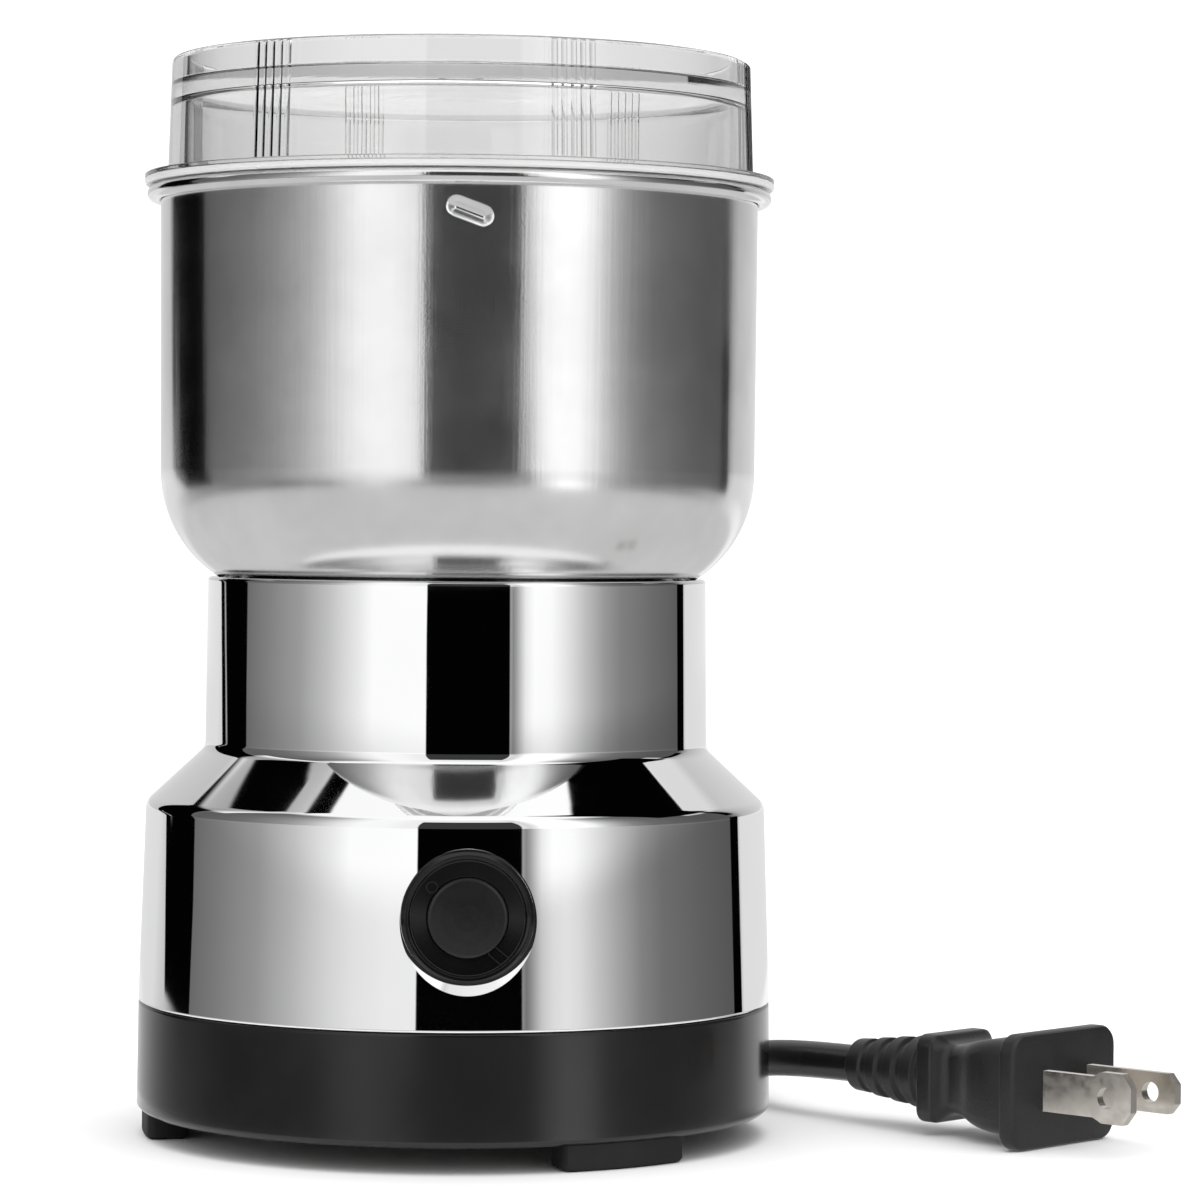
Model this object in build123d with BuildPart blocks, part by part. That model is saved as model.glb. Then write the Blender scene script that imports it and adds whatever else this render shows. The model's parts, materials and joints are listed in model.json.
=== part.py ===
from build123d import *
import os
from math import sin, cos, tan, radians, degrees, sqrt

# Electric spice grinder: a motor base in a plated shell, a fixed steel bowl
# with a spinning blade, a clear twist-lock lid, a front push button and a
# two-wire mains cord.
#
# Frame: millimetres, +Z up, z = 0 on the soles of the feet, Z axis through
# the motor shaft. The front of the object, with the push button, faces -Y.

os.makedirs("parts", exist_ok=True)

# ---------------------------------------------------------------- dimensions
base_r = 50.0             # black base, outer radius at its foot
base_top_r = 49.85
foot_h = 4.0
base_top = 21.0           # parting line of base and plated shell
floor_t = 2.4
base_wall = 2.4

shell_r0 = 49.9           # plated shell: drafted wall, shoulder, neck
shell_r1 = 48.8
shoulder_z0 = 52.35
shoulder_z1 = 60.87
neck_r0 = 39.6
neck_r1 = 39.27
neck_top = 87.7
shell_wall = 2.0
deck_z = 84.0             # floor of the seat that the bowl stands on
deck_t = 2.5
seat_r = 38.1

bowl_t = 0.55             # steel sheet
bowl_r_top = 47.08
bowl_r_low = 46.85
bowl_corner_r = 19.75
bowl_corner_z = 104.3
bowl_floor_r = 27.1
bowl_bottom = bowl_corner_z - bowl_corner_r      # 84.55
curl_r = 1.2              # rolled rim
curl_z = 147.75
curl_c = 48.2
dent_z = 142.5            # three twist-lock dents
dent_a = (1.8, 121.8, 241.8)
dent_len = 4.2
dent_r = 1.2
dent_tilt = 20.0

lid_flange_r = 49.6
lid_flange_z0 = 150.1
lid_flange_z1 = 150.8
lid_r0 = 46.0
lid_r1 = 45.4
lid_top = 168.9
lid_disc_z0 = 162.2
lid_disc_z1 = 164.6
lid_inner_r = 42.9
skirt_r = 45.1
skirt_z = 137.0
lug_r = 46.15
lug_z0 = 137.8
lug_z1 = 139.8
rib_angles = (-38.4, 21.6, 81.6, 141.6, 201.6, 261.6)
rib_pitch = 1.93          # degrees
rib_count = 5

seal_z0 = 149.05
seal_z1 = 150.05
seal_r = 49.55

switch_a = 2.2            # degrees to the right of the front
switch_z = 38.1
dish_da = 0.3             # the dish's centre, to the right of the switch's (degrees)
dish_dz = 0.6             # and below it
dish_r = 10.6
dish_h = 48.0             # the dish's flat, as a distance from the Z axis
collar_h = 48.1
bezel_r = 9.9
button_r = 6.0
button_travel = 2.5

shaft_r = 3.0
armature_r = 14.8
bore_r = 15.3
stack_z0 = 46.0
stack_z1 = 68.0
commutator_r = 10.0
brush_z = 36.7

foot_angles = (32.6, -87.4, 152.6)
foot_half = 13.4          # half the angle that a foot covers
screw_angles = (92.0, -28.0, 212.0)
screw_ring = 39.5
bowl_screw_ring = 18.0

cord_d = 6.0
cord_z = 12.3             # height of the cord outlet
boot_tip = 75.0
coil_x, coil_y = 14.0, 144.0
coil_r = 33.0             # mean radius of the put-away turns
coil_w = 12.0
coil_z0 = 0.55
plug_a = 45.0             # the plug points forward and right by this angle
plug_f = (95.3, -15.3, 9.05)   # centre of the plug's front face


def pt(r, a):
    """Point at radius r, angle a measured from the front towards +X."""
    return (r * sin(radians(a)), -r * cos(radians(a)))


def near(vs, x, y, tol=0.02):
    return [v for v in vs if abs(v.X - x) < tol and abs(v.Y - y) < tol]


def radial_plane(h, a, z):
    """Plane square to the outward direction at angle a; y up, origin at radius h."""
    x, y = pt(h, a)
    return Plane(
        origin=(x, y, z),
        x_dir=(cos(radians(a)), sin(radians(a)), 0),
        z_dir=(sin(radians(a)), -cos(radians(a)), 0),
    )


def lathe_plane(a, z):
    """Plane for a profile turned about the outward axis at angle a and height z:
    local x is the distance from that axis, local y the distance from the Z axis."""
    return Plane(
        origin=(0, 0, z),
        x_dir=(cos(radians(a)), sin(radians(a)), 0),
        z_dir=(0, 0, -1),
    )


def outward(a, z):
    return Axis((0, 0, z), (sin(radians(a)), -cos(radians(a)), 0))


def route_radii(points, share=0.45):
    """Arc radius at each inner point of a cord's route."""
    p = [Vector(*q) for q in points]
    out = []
    for i in range(1, len(p) - 1):
        a, b = p[i] - p[i - 1], p[i + 1] - p[i]
        turn = a.get_angle(b)
        out.append(share * min(a.length, b.length) / tan(radians(turn) / 2))
    return out


# ================================================================ base cover
with BuildPart() as base_cover:
    with BuildSketch(Plane.XZ):
        with BuildLine():
            Polyline(
                (0, foot_h),
                (base_r - 0.7, foot_h),
                (base_r, foot_h + 0.7),
                (base_top_r, base_top),
                (47.45, base_top),
                (47.35, base_top + 3.0),
                (45.7, base_top + 3.0),
                (45.7, 19.6),
                (47.5, 17.8),
                (47.5, foot_h + floor_t),
                (0, foot_h + floor_t),
                close=True,
            )
        make_face()
    revolve(axis=Axis.Z)
    # towers for the case screws, with the heads sunk from below
    with BuildSketch(Plane.XY.offset(foot_h + floor_t)):
        with Locations(*[pt(screw_ring, a) for a in screw_angles]):
            Circle(5.0)
    extrude(amount=7.6)
    # two posts for the cord clamp
    with BuildSketch(Plane.XY.offset(foot_h + floor_t)):
        with Locations((9, 37), (-9, 37)):
            Circle(3.2)
    extrude(amount=cord_z - foot_h - floor_t)
    with BuildSketch(Plane.XY.offset(foot_h)):
        with Locations(*[pt(screw_ring, a) for a in screw_angles]):
            Circle(3.4)
    extrude(amount=5.0, mode=Mode.SUBTRACT)
    with BuildSketch(Plane.XY.offset(foot_h + 5.0)):
        with Locations(*[pt(screw_ring, a) for a in screw_angles]):
            Circle(1.8)
    extrude(amount=6.0, mode=Mode.SUBTRACT)
    with BuildSketch(Plane.XY.offset(foot_h + floor_t)):
        with Locations((9, 37), (-9, 37)):
            Circle(1.1)
    extrude(amount=8.0, mode=Mode.SUBTRACT)
    # cooling slots under the fan
    with BuildSketch(Plane.XY.offset(foot_h)):
        with PolarLocations(18.5, 12):
            SlotOverall(12, 2.4)
    extrude(amount=floor_t, mode=Mode.SUBTRACT)
    # holes for the stems of the feet
    with BuildSketch(Plane.XY.offset(foot_h)):
        with Locations(*[pt(45.0, a) for a in foot_angles]):
            Circle(2.0)
    extrude(amount=floor_t, mode=Mode.SUBTRACT)
    # cord outlet at the back
    with BuildSketch(Plane.XZ.offset(-52)):
        with Locations((0, cord_z)):
            Circle(5.0)
    extrude(amount=7.0, mode=Mode.SUBTRACT)
base_cover.part.label = "base_cover"
export_step(base_cover.part, "parts/base_cover.step")

# ================================================================ feet
with BuildPart() as rubber_feet:
    with BuildSketch(Plane.XY) as foot_plan:
        for a in foot_angles:
            with BuildLine():
                ThreePointArc(pt(49.2, a - foot_half), pt(49.2, a), pt(49.2, a + foot_half))
                Line(pt(49.2, a + foot_half), pt(42.6, a + foot_half))
                ThreePointArc(pt(42.6, a + foot_half), pt(42.6, a), pt(42.6, a - foot_half))
                Line(pt(42.6, a - foot_half), pt(49.2, a - foot_half))
            make_face()
        fillet(foot_plan.vertices(), 2.2)
    extrude(amount=foot_h)
    fillet(rubber_feet.edges().group_by(Axis.Z)[0], 0.8)
    with BuildSketch(Plane.XY.offset(foot_h)):
        with Locations(*[pt(45.0, a) for a in foot_angles]):
            Circle(2.0)
    extrude(amount=floor_t + 0.1)
    with BuildSketch(Plane.XY.offset(foot_h + floor_t)):
        with Locations(*[pt(45.0, a) for a in foot_angles]):
            Circle(2.4)
    extrude(amount=1.0)
rubber_feet.part.label = "rubber_feet"
export_step(rubber_feet.part, "parts/rubber_feet.step")

# ================================================================ base screws
with BuildPart() as base_screws:
    with BuildSketch(Plane.XY.offset(6.6)):
        with Locations(*[pt(screw_ring, a) for a in screw_angles]):
            Circle(3.0)
    extrude(amount=2.4)
    fillet(base_screws.edges().group_by(Axis.Z)[0], 0.7)
    with BuildSketch(Plane.XY.offset(6.6)):
        with Locations(*[pt(screw_ring, a) for a in screw_angles]):
            Rectangle(3.4, 0.8)
            Rectangle(0.8, 3.4)
    extrude(amount=1.2, mode=Mode.SUBTRACT)
    with BuildSketch(Plane.XY.offset(9.0)):
        with Locations(*[pt(screw_ring, a) for a in screw_angles]):
            Circle(1.4)
    extrude(amount=17.0)
base_screws.part.label = "base_screws"
export_step(base_screws.part, "parts/base_screws.step")

# ================================================================ plated shell
# thick seat for the push switch, whose front follows the wall half a millimetre
# under its outside
with BuildPart() as switch_seat:
    with BuildSketch(radial_plane(44.6, switch_a, switch_z)):
        Circle(12.5)
    extrude(amount=6.0)
    with BuildSketch(Plane.XZ):
        with BuildLine():
            Polyline((0, 20), (49.45, 20), (48.25, 54), (0, 54), close=True)
        make_face()
    revolve(axis=Axis.Z, mode=Mode.INTERSECT)

with BuildPart() as shell:
    with BuildSketch(Plane.XZ) as prof:
        with BuildLine():
            Polyline(
                (47.9, base_top),
                (shell_r0, base_top),
                (shell_r1, shoulder_z0),
                (neck_r0, shoulder_z1),
                (neck_r1, neck_top),
                (seat_r, neck_top),
                (seat_r, deck_z),
                (7.2, deck_z),
                (7.2, deck_z - deck_t),
                (37.2, deck_z - deck_t),
                (37.6, 61.3),
                (46.8, 52.8),
                close=True,
            )
        make_face()
        fillet(near(prof.vertices(), shell_r1, shoulder_z0), 2.5)
        fillet(near(prof.vertices(), neck_r0, shoulder_z1), 2.2)
        fillet(near(prof.vertices(), neck_r1, neck_top), 0.9)
    revolve(axis=Axis.Z)
    # screw bosses on ribs inside the wall
    with BuildSketch(Plane.XY.offset(14.2)):
        with Locations(*[pt(screw_ring, a) for a in screw_angles]):
            Circle(4.0)
    extrude(amount=17.8)
    for a in screw_angles:
        with BuildSketch(Plane(origin=(0, 0, 25.0), x_dir=(sin(radians(a)), -cos(radians(a)), 0), z_dir=(0, 0, 1))):
            with Locations((44.9, 0)):
                Rectangle(5.6, 3.0)
        extrude(amount=7.0)
    with BuildSketch(Plane.XY.offset(14.2)):
        with Locations(*[pt(screw_ring, a) for a in screw_angles]):
            Circle(1.4)
    extrude(amount=13.0, mode=Mode.SUBTRACT)
    # the switch's seat, its hole and the shallow dish around it, whose centre
    # is a little below the hole's
    add(switch_seat.part)
    with BuildSketch(radial_plane(44.0, switch_a, switch_z)):
        Circle(8.45)
    extrude(amount=7.0, mode=Mode.SUBTRACT)
    with BuildSketch(lathe_plane(switch_a + dish_da, switch_z - dish_dz)):
        with BuildLine():
            Polyline((0, dish_h), (dish_r, dish_h), (dish_r + 4.25, dish_h + 2.0), (dish_r + 4.25, 52), (0, 52), close=True)
        make_face()
    revolve(axis=outward(switch_a + dish_da, switch_z - dish_dz), mode=Mode.SUBTRACT)
    # three clearance holes for the bowl screws
    with BuildSketch(Plane.XY.offset(deck_z - deck_t)):
        with PolarLocations(bowl_screw_ring, 3, start_angle=30):
            Circle(2.2)
    extrude(amount=deck_t, mode=Mode.SUBTRACT)
shell.part.label = "motor_housing"
export_step(shell.part, "parts/motor_housing.step")

# ================================================================ bowl
with BuildPart() as dent_lumps:
    for a in dent_a:
        x, y = pt(47.1, a)
        tilt = Plane(
            origin=(x, y, dent_z),
            x_dir=(
                cos(radians(a)) * cos(radians(dent_tilt)),
                sin(radians(a)) * cos(radians(dent_tilt)),
                -sin(radians(dent_tilt)),
            ),
            z_dir=(sin(radians(a)), -cos(radians(a)), 0),
        )
        with Locations(tilt.location):
            Cylinder(dent_r + bowl_t, dent_len, rotation=(0, 90, 0))
            with Locations((dent_len / 2, 0, 0), (-dent_len / 2, 0, 0)):
                Sphere(dent_r + bowl_t)
    with BuildSketch(Plane.XZ):
        with BuildLine():
            Polyline((0, 130), (46.97, 130), (47.06, 146.0), (0, 146.0), close=True)
        make_face()
    revolve(axis=Axis.Z, mode=Mode.INTERSECT)

with BuildPart() as bowl:
    with BuildSketch(Plane.XZ) as prof:
        with BuildLine():
            Line((7.0, bowl_bottom), (bowl_floor_r, bowl_bottom))
            RadiusArc((bowl_floor_r, bowl_bottom), (bowl_r_low, bowl_corner_z), -bowl_corner_r)
            Line((bowl_r_low, bowl_corner_z), (bowl_r_top, curl_z))
            Line((bowl_r_top, curl_z), (bowl_r_top - bowl_t, curl_z))
            Line((bowl_r_top - bowl_t, curl_z), (bowl_r_low - bowl_t, bowl_corner_z))
            RadiusArc(
                (bowl_r_low - bowl_t, bowl_corner_z),
                (bowl_floor_r, bowl_bottom + bowl_t),
                bowl_corner_r - bowl_t,
            )
            Line((bowl_floor_r, bowl_bottom + bowl_t), (7.0, bowl_bottom + bowl_t))
            Line((7.0, bowl_bottom + bowl_t), (7.0, bowl_bottom))
        make_face()
        # rolled rim, open underneath beside the wall
        with Locations((curl_c - 0.2, curl_z)):
            Circle(curl_r)
            Circle(curl_r - bowl_t, mode=Mode.SUBTRACT)
        with Locations((47.5, curl_z - 0.9)):
            Rectangle(0.8, 0.8, mode=Mode.SUBTRACT)
    revolve(axis=Axis.Z)
    add(dent_lumps.part)
    for a in dent_a:
        x, y = pt(47.1, a)
        tilt = Plane(
            origin=(x, y, dent_z),
            x_dir=(
                cos(radians(a)) * cos(radians(dent_tilt)),
                sin(radians(a)) * cos(radians(dent_tilt)),
                -sin(radians(dent_tilt)),
            ),
            z_dir=(sin(radians(a)), -cos(radians(a)), 0),
        )
        with Locations(tilt.location):
            Cylinder(dent_r, dent_len, rotation=(0, 90, 0), mode=Mode.SUBTRACT)
            with Locations((dent_len / 2, 0, 0), (-dent_len / 2, 0, 0)):
                Sphere(dent_r, mode=Mode.SUBTRACT)
    with BuildSketch(Plane.XY.offset(bowl_bottom)):
        with PolarLocations(bowl_screw_ring, 3, start_angle=30):
            Circle(2.2)
    extrude(amount=bowl_t, mode=Mode.SUBTRACT)
bowl.part.label = "bowl"
export_step(bowl.part, "parts/bowl.step")

# ================================================================ bowl gasket
with BuildPart() as bowl_gasket:
    with BuildSketch(Plane.XY.offset(deck_z)):
        Circle(25.5)
        Circle(11.0, mode=Mode.SUBTRACT)
        with PolarLocations(bowl_screw_ring, 3, start_angle=30):
            Circle(2.3, mode=Mode.SUBTRACT)
    extrude(amount=bowl_bottom - deck_z)
bowl_gasket.part.label = "bowl_gasket"
export_step(bowl_gasket.part, "parts/bowl_gasket.step")

# ================================================================ bowl screws
with BuildPart() as bowl_screws:
    with BuildSketch(Plane.XY.offset(bowl_bottom + bowl_t)):
        with PolarLocations(bowl_screw_ring, 3, start_angle=30):
            Circle(3.6)
    extrude(amount=2.2)
    fillet(bowl_screws.edges().group_by(Axis.Z)[-1], 1.0)
    with BuildSketch(Plane.XY.offset(bowl_bottom + bowl_t + 1.0)):
        with PolarLocations(bowl_screw_ring, 3, start_angle=30):
            Rectangle(4.0, 0.9)
            Rectangle(0.9, 4.0)
    extrude(amount=2.0, mode=Mode.SUBTRACT)
    with BuildSketch(Plane.XY.offset(79.2)):
        with PolarLocations(bowl_screw_ring, 3, start_angle=30):
            Circle(1.95)
    extrude(amount=bowl_bottom + bowl_t - 79.2)
bowl_screws.part.label = "bowl_screws"
export_step(bowl_screws.part, "parts/bowl_screws.step")

# ================================================================ shaft seal
with BuildPart() as shaft_seal:
    with BuildSketch(Plane.XZ):
        with BuildLine():
            Polyline(
                (3.05, 82.4), (6.8, 82.4), (6.8, 85.1), (10.0, 85.1), (10.0, 86.3),
                (9.2, 87.0), (6.4, 87.4), (5.2, 89.8), (3.6, 90.0), (3.05, 89.6), close=True,
            )
        make_face()
    revolve(axis=Axis.Z)
shaft_seal.part.label = "shaft_seal"
export_step(shaft_seal.part, "parts/shaft_seal.step")

# ================================================================ motor brackets
with BuildPart() as upper_bracket:
    with BuildSketch(Plane.XY.offset(79.0)):
        Circle(28.5)
        with Locations((19.5, -8.5), (-19.5, -8.5)):
            Circle(4.5, mode=Mode.SUBTRACT)
    extrude(amount=2.5)
    with BuildSketch(Plane.XY.offset(74.5)):
        Circle(9.5)
    extrude(amount=4.5)
    with BuildSketch(Plane.XY.offset(stack_z1)):
        with Locations((0, 24), (0, -24)):
            Circle(4.4)
    extrude(amount=11.0)
    with BuildSketch(Plane.XY.offset(74.5)):
        Circle(6.0)
    extrude(amount=7.0, mode=Mode.SUBTRACT)
    with BuildSketch(Plane.XY.offset(stack_z1)):
        with Locations((0, 24), (0, -24)):
            Circle(1.5)
    extrude(amount=9.5, mode=Mode.SUBTRACT)
    with BuildSketch(Plane.XY.offset(79.0)):
        with PolarLocations(bowl_screw_ring, 3, start_angle=30):
            Circle(1.95)
    extrude(amount=2.5, mode=Mode.SUBTRACT)
upper_bracket.part.label = "upper_bracket"
export_step(upper_bracket.part, "parts/upper_bracket.step")

with BuildPart() as lower_bracket:
    with BuildSketch(Plane.XY.offset(26.0)):
        Rectangle(9, 56)
        Rectangle(52, 12)
        Circle(12)
    extrude(amount=5.0)
    with BuildSketch(Plane.XY.offset(21.0)):
        Circle(9.5)
    extrude(amount=5.0)
    with BuildSketch(Plane.XY.offset(31.0)):
        with Locations((19.5, 0), (-19.5, 0)):
            Rectangle(13, 12)
    extrude(amount=2.5)
    with BuildSketch(Plane.XY.offset(31.0)):
        with Locations((0, 24), (0, -24)):
            Circle(4.0)
    extrude(amount=15.0)
    with BuildSketch(Plane.XY.offset(21.0)):
        Circle(6.0)
    extrude(amount=8.0, mode=Mode.SUBTRACT)
    with BuildSketch(Plane.XY.offset(29.0)):
        Circle(7.2)
    extrude(amount=2.0, mode=Mode.SUBTRACT)
    with BuildSketch(Plane.XY.offset(26.0)):
        with Locations((0, 24), (0, -24)):
            Circle(1.5)
    extrude(amount=20.0, mode=Mode.SUBTRACT)
lower_bracket.part.label = "lower_bracket"
export_step(lower_bracket.part, "parts/lower_bracket.step")

with BuildPart() as motor_screws:
    with BuildSketch(Plane.XY.offset(23.4)):
        with Locations((0, 24), (0, -24)):
            Circle(3.0)
    extrude(amount=2.6)
    with BuildSketch(Plane.XY.offset(23.4)):
        with Locations((0, 24), (0, -24)):
            Rectangle(4.0, 0.8)
    extrude(amount=1.0, mode=Mode.SUBTRACT)
    with BuildSketch(Plane.XY.offset(26.0)):
        with Locations((0, 24), (0, -24)):
            Circle(1.5)
    extrude(amount=51.0)
motor_screws.part.label = "motor_screws"
export_step(motor_screws.part, "parts/motor_screws.step")

# ================================================================ bearings
with BuildPart() as upper_bearing:
    with BuildSketch(Plane.XY.offset(74.5)):
        Circle(6.0)
        Circle(shaft_r + 0.03, mode=Mode.SUBTRACT)
    extrude(amount=7.6)
    chamfer(upper_bearing.edges().group_by(Axis.Z)[-1], 0.3)
upper_bearing.part.label = "upper_bearing"
export_step(upper_bearing.part, "parts/upper_bearing.step")

with BuildPart() as lower_bearing:
    with BuildSketch(Plane.XY.offset(21.0)):
        Circle(6.0)
        Circle(shaft_r + 0.03, mode=Mode.SUBTRACT)
    extrude(amount=8.0)
    chamfer(lower_bearing.edges().group_by(Axis.Z)[0], 0.3)
lower_bearing.part.label = "lower_bearing"
export_step(lower_bearing.part, "parts/lower_bearing.step")

# ================================================================ stator
with BuildPart() as stator_core:
    with BuildSketch(mode=Mode.PRIVATE) as shoes:
        Circle(18.6)
        Circle(bore_r, mode=Mode.SUBTRACT)
        Rectangle(21, 60, mode=Mode.SUBTRACT)
    with BuildSketch(Plane.XY.offset(stack_z0)):
        RectangleRounded(60, 54, 12)
        RectangleRounded(48, 42, 8, mode=Mode.SUBTRACT)
        with Locations((20.5, 0), (-20.5, 0)):
            Rectangle(10, 20)
        add(shoes.sketch)
        Circle(bore_r, mode=Mode.SUBTRACT)
        with Locations((0, 24), (0, -24)):
            Circle(1.5, mode=Mode.SUBTRACT)
    extrude(amount=stack_z1 - stack_z0)
stator_core.part.label = "stator_core"
export_step(stator_core.part, "parts/stator_core.step")

with BuildPart() as field_coils:
    for side in (18.8, -23.5):
        with BuildSketch(Plane.YZ.offset(side)):
            with Locations((0, 57)):
                RectangleRounded(33, 31, 5)
                RectangleRounded(20.4, 22.4, 0.6, mode=Mode.SUBTRACT)
        extrude(amount=4.7)
    fillet(
        [
            e
            for e in field_coils.edges().filter_by(GeomType.LINE)
            if max(abs(e.center().Y), abs(e.center().Z - 57)) > 15
        ],
        1.2,
    )
field_coils.part.label = "field_coils"
export_step(field_coils.part, "parts/field_coils.step")

# ================================================================ rotor
with BuildPart() as shaft:
    with BuildSketch(Plane.XY.offset(9.0)):
        Circle(shaft_r)
    extrude(amount=90.5)
    chamfer(shaft.edges().group_by(Axis.Z)[0], 0.5)
    chamfer(shaft.edges().group_by(Axis.Z)[-1], 0.5)
shaft.part.label = "shaft"
export_step(shaft.part, "parts/shaft.step")

with BuildPart() as armature_core:
    with BuildSketch(Plane.XY.offset(stack_z0)):
        Circle(armature_r)
        Circle(shaft_r, mode=Mode.SUBTRACT)
        with PolarLocations(11.4, 12):
            Circle(1.7, mode=Mode.SUBTRACT)
        with PolarLocations(13.6, 12):
            Rectangle(3.4, 0.9, mode=Mode.SUBTRACT)
    extrude(amount=stack_z1 - stack_z0)
armature_core.part.label = "armature_core"
export_step(armature_core.part, "parts/armature_core.step")

with BuildPart() as armature_windings:
    with BuildSketch(Plane.XZ) as prof:
        with BuildLine():
            Polyline((5.4, 42.3), (12.0, 42.3), (13.4, 44.0), (13.4, 46.0), (5.4, 46.0), close=True)
        make_face()
        with BuildLine():
            Polyline((4.6, 68.0), (13.4, 68.0), (13.4, 70.0), (11.6, 71.8), (4.6, 71.8), close=True)
        make_face()
    revolve(axis=Axis.Z)
    with BuildSketch(Plane.XY.offset(stack_z0 - 1)):
        with PolarLocations(11.4, 12):
            Circle(1.6)
    extrude(amount=stack_z1 - stack_z0 + 2)
    # the lumps between the turns at both ends
    with BuildSketch(Plane.XY.offset(42.0)):
        with PolarLocations(14.0, 12, start_angle=15):
            Circle(1.5)
    extrude(amount=30.0, mode=Mode.SUBTRACT)
armature_windings.part.label = "armature_windings"
export_step(armature_windings.part, "parts/armature_windings.step")

with BuildPart() as commutator:
    with BuildSketch(Plane.XY.offset(32.0)):
        Circle(commutator_r)
        Circle(6.0, mode=Mode.SUBTRACT)
        with PolarLocations(9.6, 24):
            Rectangle(1.2, 0.45, mode=Mode.SUBTRACT)
    extrude(amount=8.2)
    with BuildSketch(Plane.XY.offset(40.2)):
        Circle(commutator_r + 1.2)
        Circle(6.0, mode=Mode.SUBTRACT)
        with PolarLocations(10.6, 24):
            Rectangle(2.4, 0.45, mode=Mode.SUBTRACT)
    extrude(amount=1.3)
commutator.part.label = "commutator"
export_step(commutator.part, "parts/commutator.step")

with BuildPart() as commutator_hub:
    with BuildSketch(Plane.XY.offset(31.0)):
        Circle(6.0)
        Circle(shaft_r, mode=Mode.SUBTRACT)
    extrude(amount=11.0)
commutator_hub.part.label = "commutator_hub"
export_step(commutator_hub.part, "parts/commutator_hub.step")

with BuildPart() as thrust_washers:
    for z in (29.4, 30.2, 73.0, 73.7):
        with BuildSketch(Plane.XY.offset(z)):
            Circle(5.4)
            Circle(shaft_r, mode=Mode.SUBTRACT)
        extrude(amount=0.6)
thrust_washers.part.label = "thrust_washers"
export_step(thrust_washers.part, "parts/thrust_washers.step")

with BuildPart() as fan:
    with BuildSketch(Plane.XY.offset(10.0)):
        Circle(5.6)
    extrude(amount=9.4)
    with BuildSketch(Plane.XY.offset(18.0)):
        Circle(24.0)
    extrude(amount=1.4)
    with BuildSketch(Plane.XY.offset(10.5)):
        with PolarLocations(15.6, 9):
            Rectangle(16.0, 1.3, rotation=18)
    extrude(amount=8.0)
    with BuildSketch(Plane.XY.offset(10.0)):
        Circle(shaft_r)
    extrude(amount=9.4, mode=Mode.SUBTRACT)
fan.part.label = "cooling_fan"
export_step(fan.part, "parts/cooling_fan.step")

# ================================================================ blade
with BuildPart() as wings_up:
    with BuildSketch(Plane.XZ):
        with BuildLine():
            Polyline((0, 93.0), (11, 93.0), (31.5, 97.6), (31.5, 99.1), (10.8, 94.5), (-10.8, 94.5),
                     (-31.5, 99.1), (-31.5, 97.6), (-11, 93.0), close=True)
        make_face()
    extrude(amount=8.0, both=True)
    with BuildSketch(Plane.XY.offset(90)) as plan:
        for s in (1, -1):
            with BuildLine():
                Spline((8 * s, -4.5 * s), (18 * s, -5.8 * s), (30.5 * s, -1.0 * s), tangents=[(s, 0), (s, 0.75 * s)])
                Line((30.5 * s, -1.0 * s), (31.0 * s, 1.2 * s))
                Spline((31.0 * s, 1.2 * s), (18 * s, 3.2 * s), (8 * s, 4.5 * s), tangents=[(-s, 0), (-s, 0.1 * s)])
                Line((8 * s, 4.5 * s), (8 * s, -4.5 * s))
            make_face()
        Rectangle(17, 9)
        Circle(8.2)
    extrude(amount=20, mode=Mode.INTERSECT)

with BuildPart() as wings_down:
    with BuildSketch(Plane.YZ):
        with BuildLine():
            Polyline((0, 93.0), (10.8, 93.0), (26.0, 90.6), (26.3, 92.1), (11, 94.5), (-11, 94.5),
                     (-26.3, 92.1), (-26.0, 90.6), (-10.8, 93.0), close=True)
        make_face()
    extrude(amount=8.0, both=True)
    with BuildSketch(Plane.XY.offset(86)) as plan:
        for s in (1, -1):
            with BuildLine():
                Spline((4.5 * s, 8 * s), (5.6 * s, 16 * s), (1.0 * s, 25.5 * s), tangents=[(0, s), (-0.75 * s, s)])
                Line((1.0 * s, 25.5 * s), (-1.2 * s, 26.0 * s))
                Spline((-1.2 * s, 26.0 * s), (-3.2 * s, 16 * s), (-4.5 * s, 8 * s), tangents=[(0, -s), (-0.1 * s, -s)])
                Line((-4.5 * s, 8 * s), (4.5 * s, 8 * s))
            make_face()
        Rectangle(9, 17)
        Circle(8.2)
    extrude(amount=20, mode=Mode.INTERSECT)

with BuildPart() as blade:
    add(wings_up.part)
    add(wings_down.part)
    with BuildSketch(Plane.XY.offset(92)):
        Circle(shaft_r)
    extrude(amount=4, mode=Mode.SUBTRACT)
blade.part.label = "blade"
export_step(blade.part, "parts/blade.step")

with BuildPart() as blade_spacer:
    with BuildSketch(Plane.XY.offset(90.4)):
        Circle(6.0)
        Circle(shaft_r, mode=Mode.SUBTRACT)
    extrude(amount=2.6)
blade_spacer.part.label = "blade_spacer"
export_step(blade_spacer.part, "parts/blade_spacer.step")

with BuildPart() as cap_nut:
    with BuildSketch(Plane.XY.offset(94.5)):
        RegularPolygon(5.6, 6)
    extrude(amount=4.6)
    with BuildSketch(Plane.XZ):
        with BuildLine():
            Polyline((0, 98.6), (4.7, 98.6), (4.7, 99.4), (4.3, 100.7), (3.5, 101.8), (2.3, 102.6), (0.9, 103.0),
                     (0, 103.0), close=True)
        make_face()
    revolve(axis=Axis.Z)
    with BuildSketch(Plane.XY.offset(94.5)):
        Circle(shaft_r)
    extrude(amount=5.2, mode=Mode.SUBTRACT)
cap_nut.part.label = "blade_nut"
export_step(cap_nut.part, "parts/blade_nut.step")

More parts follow.
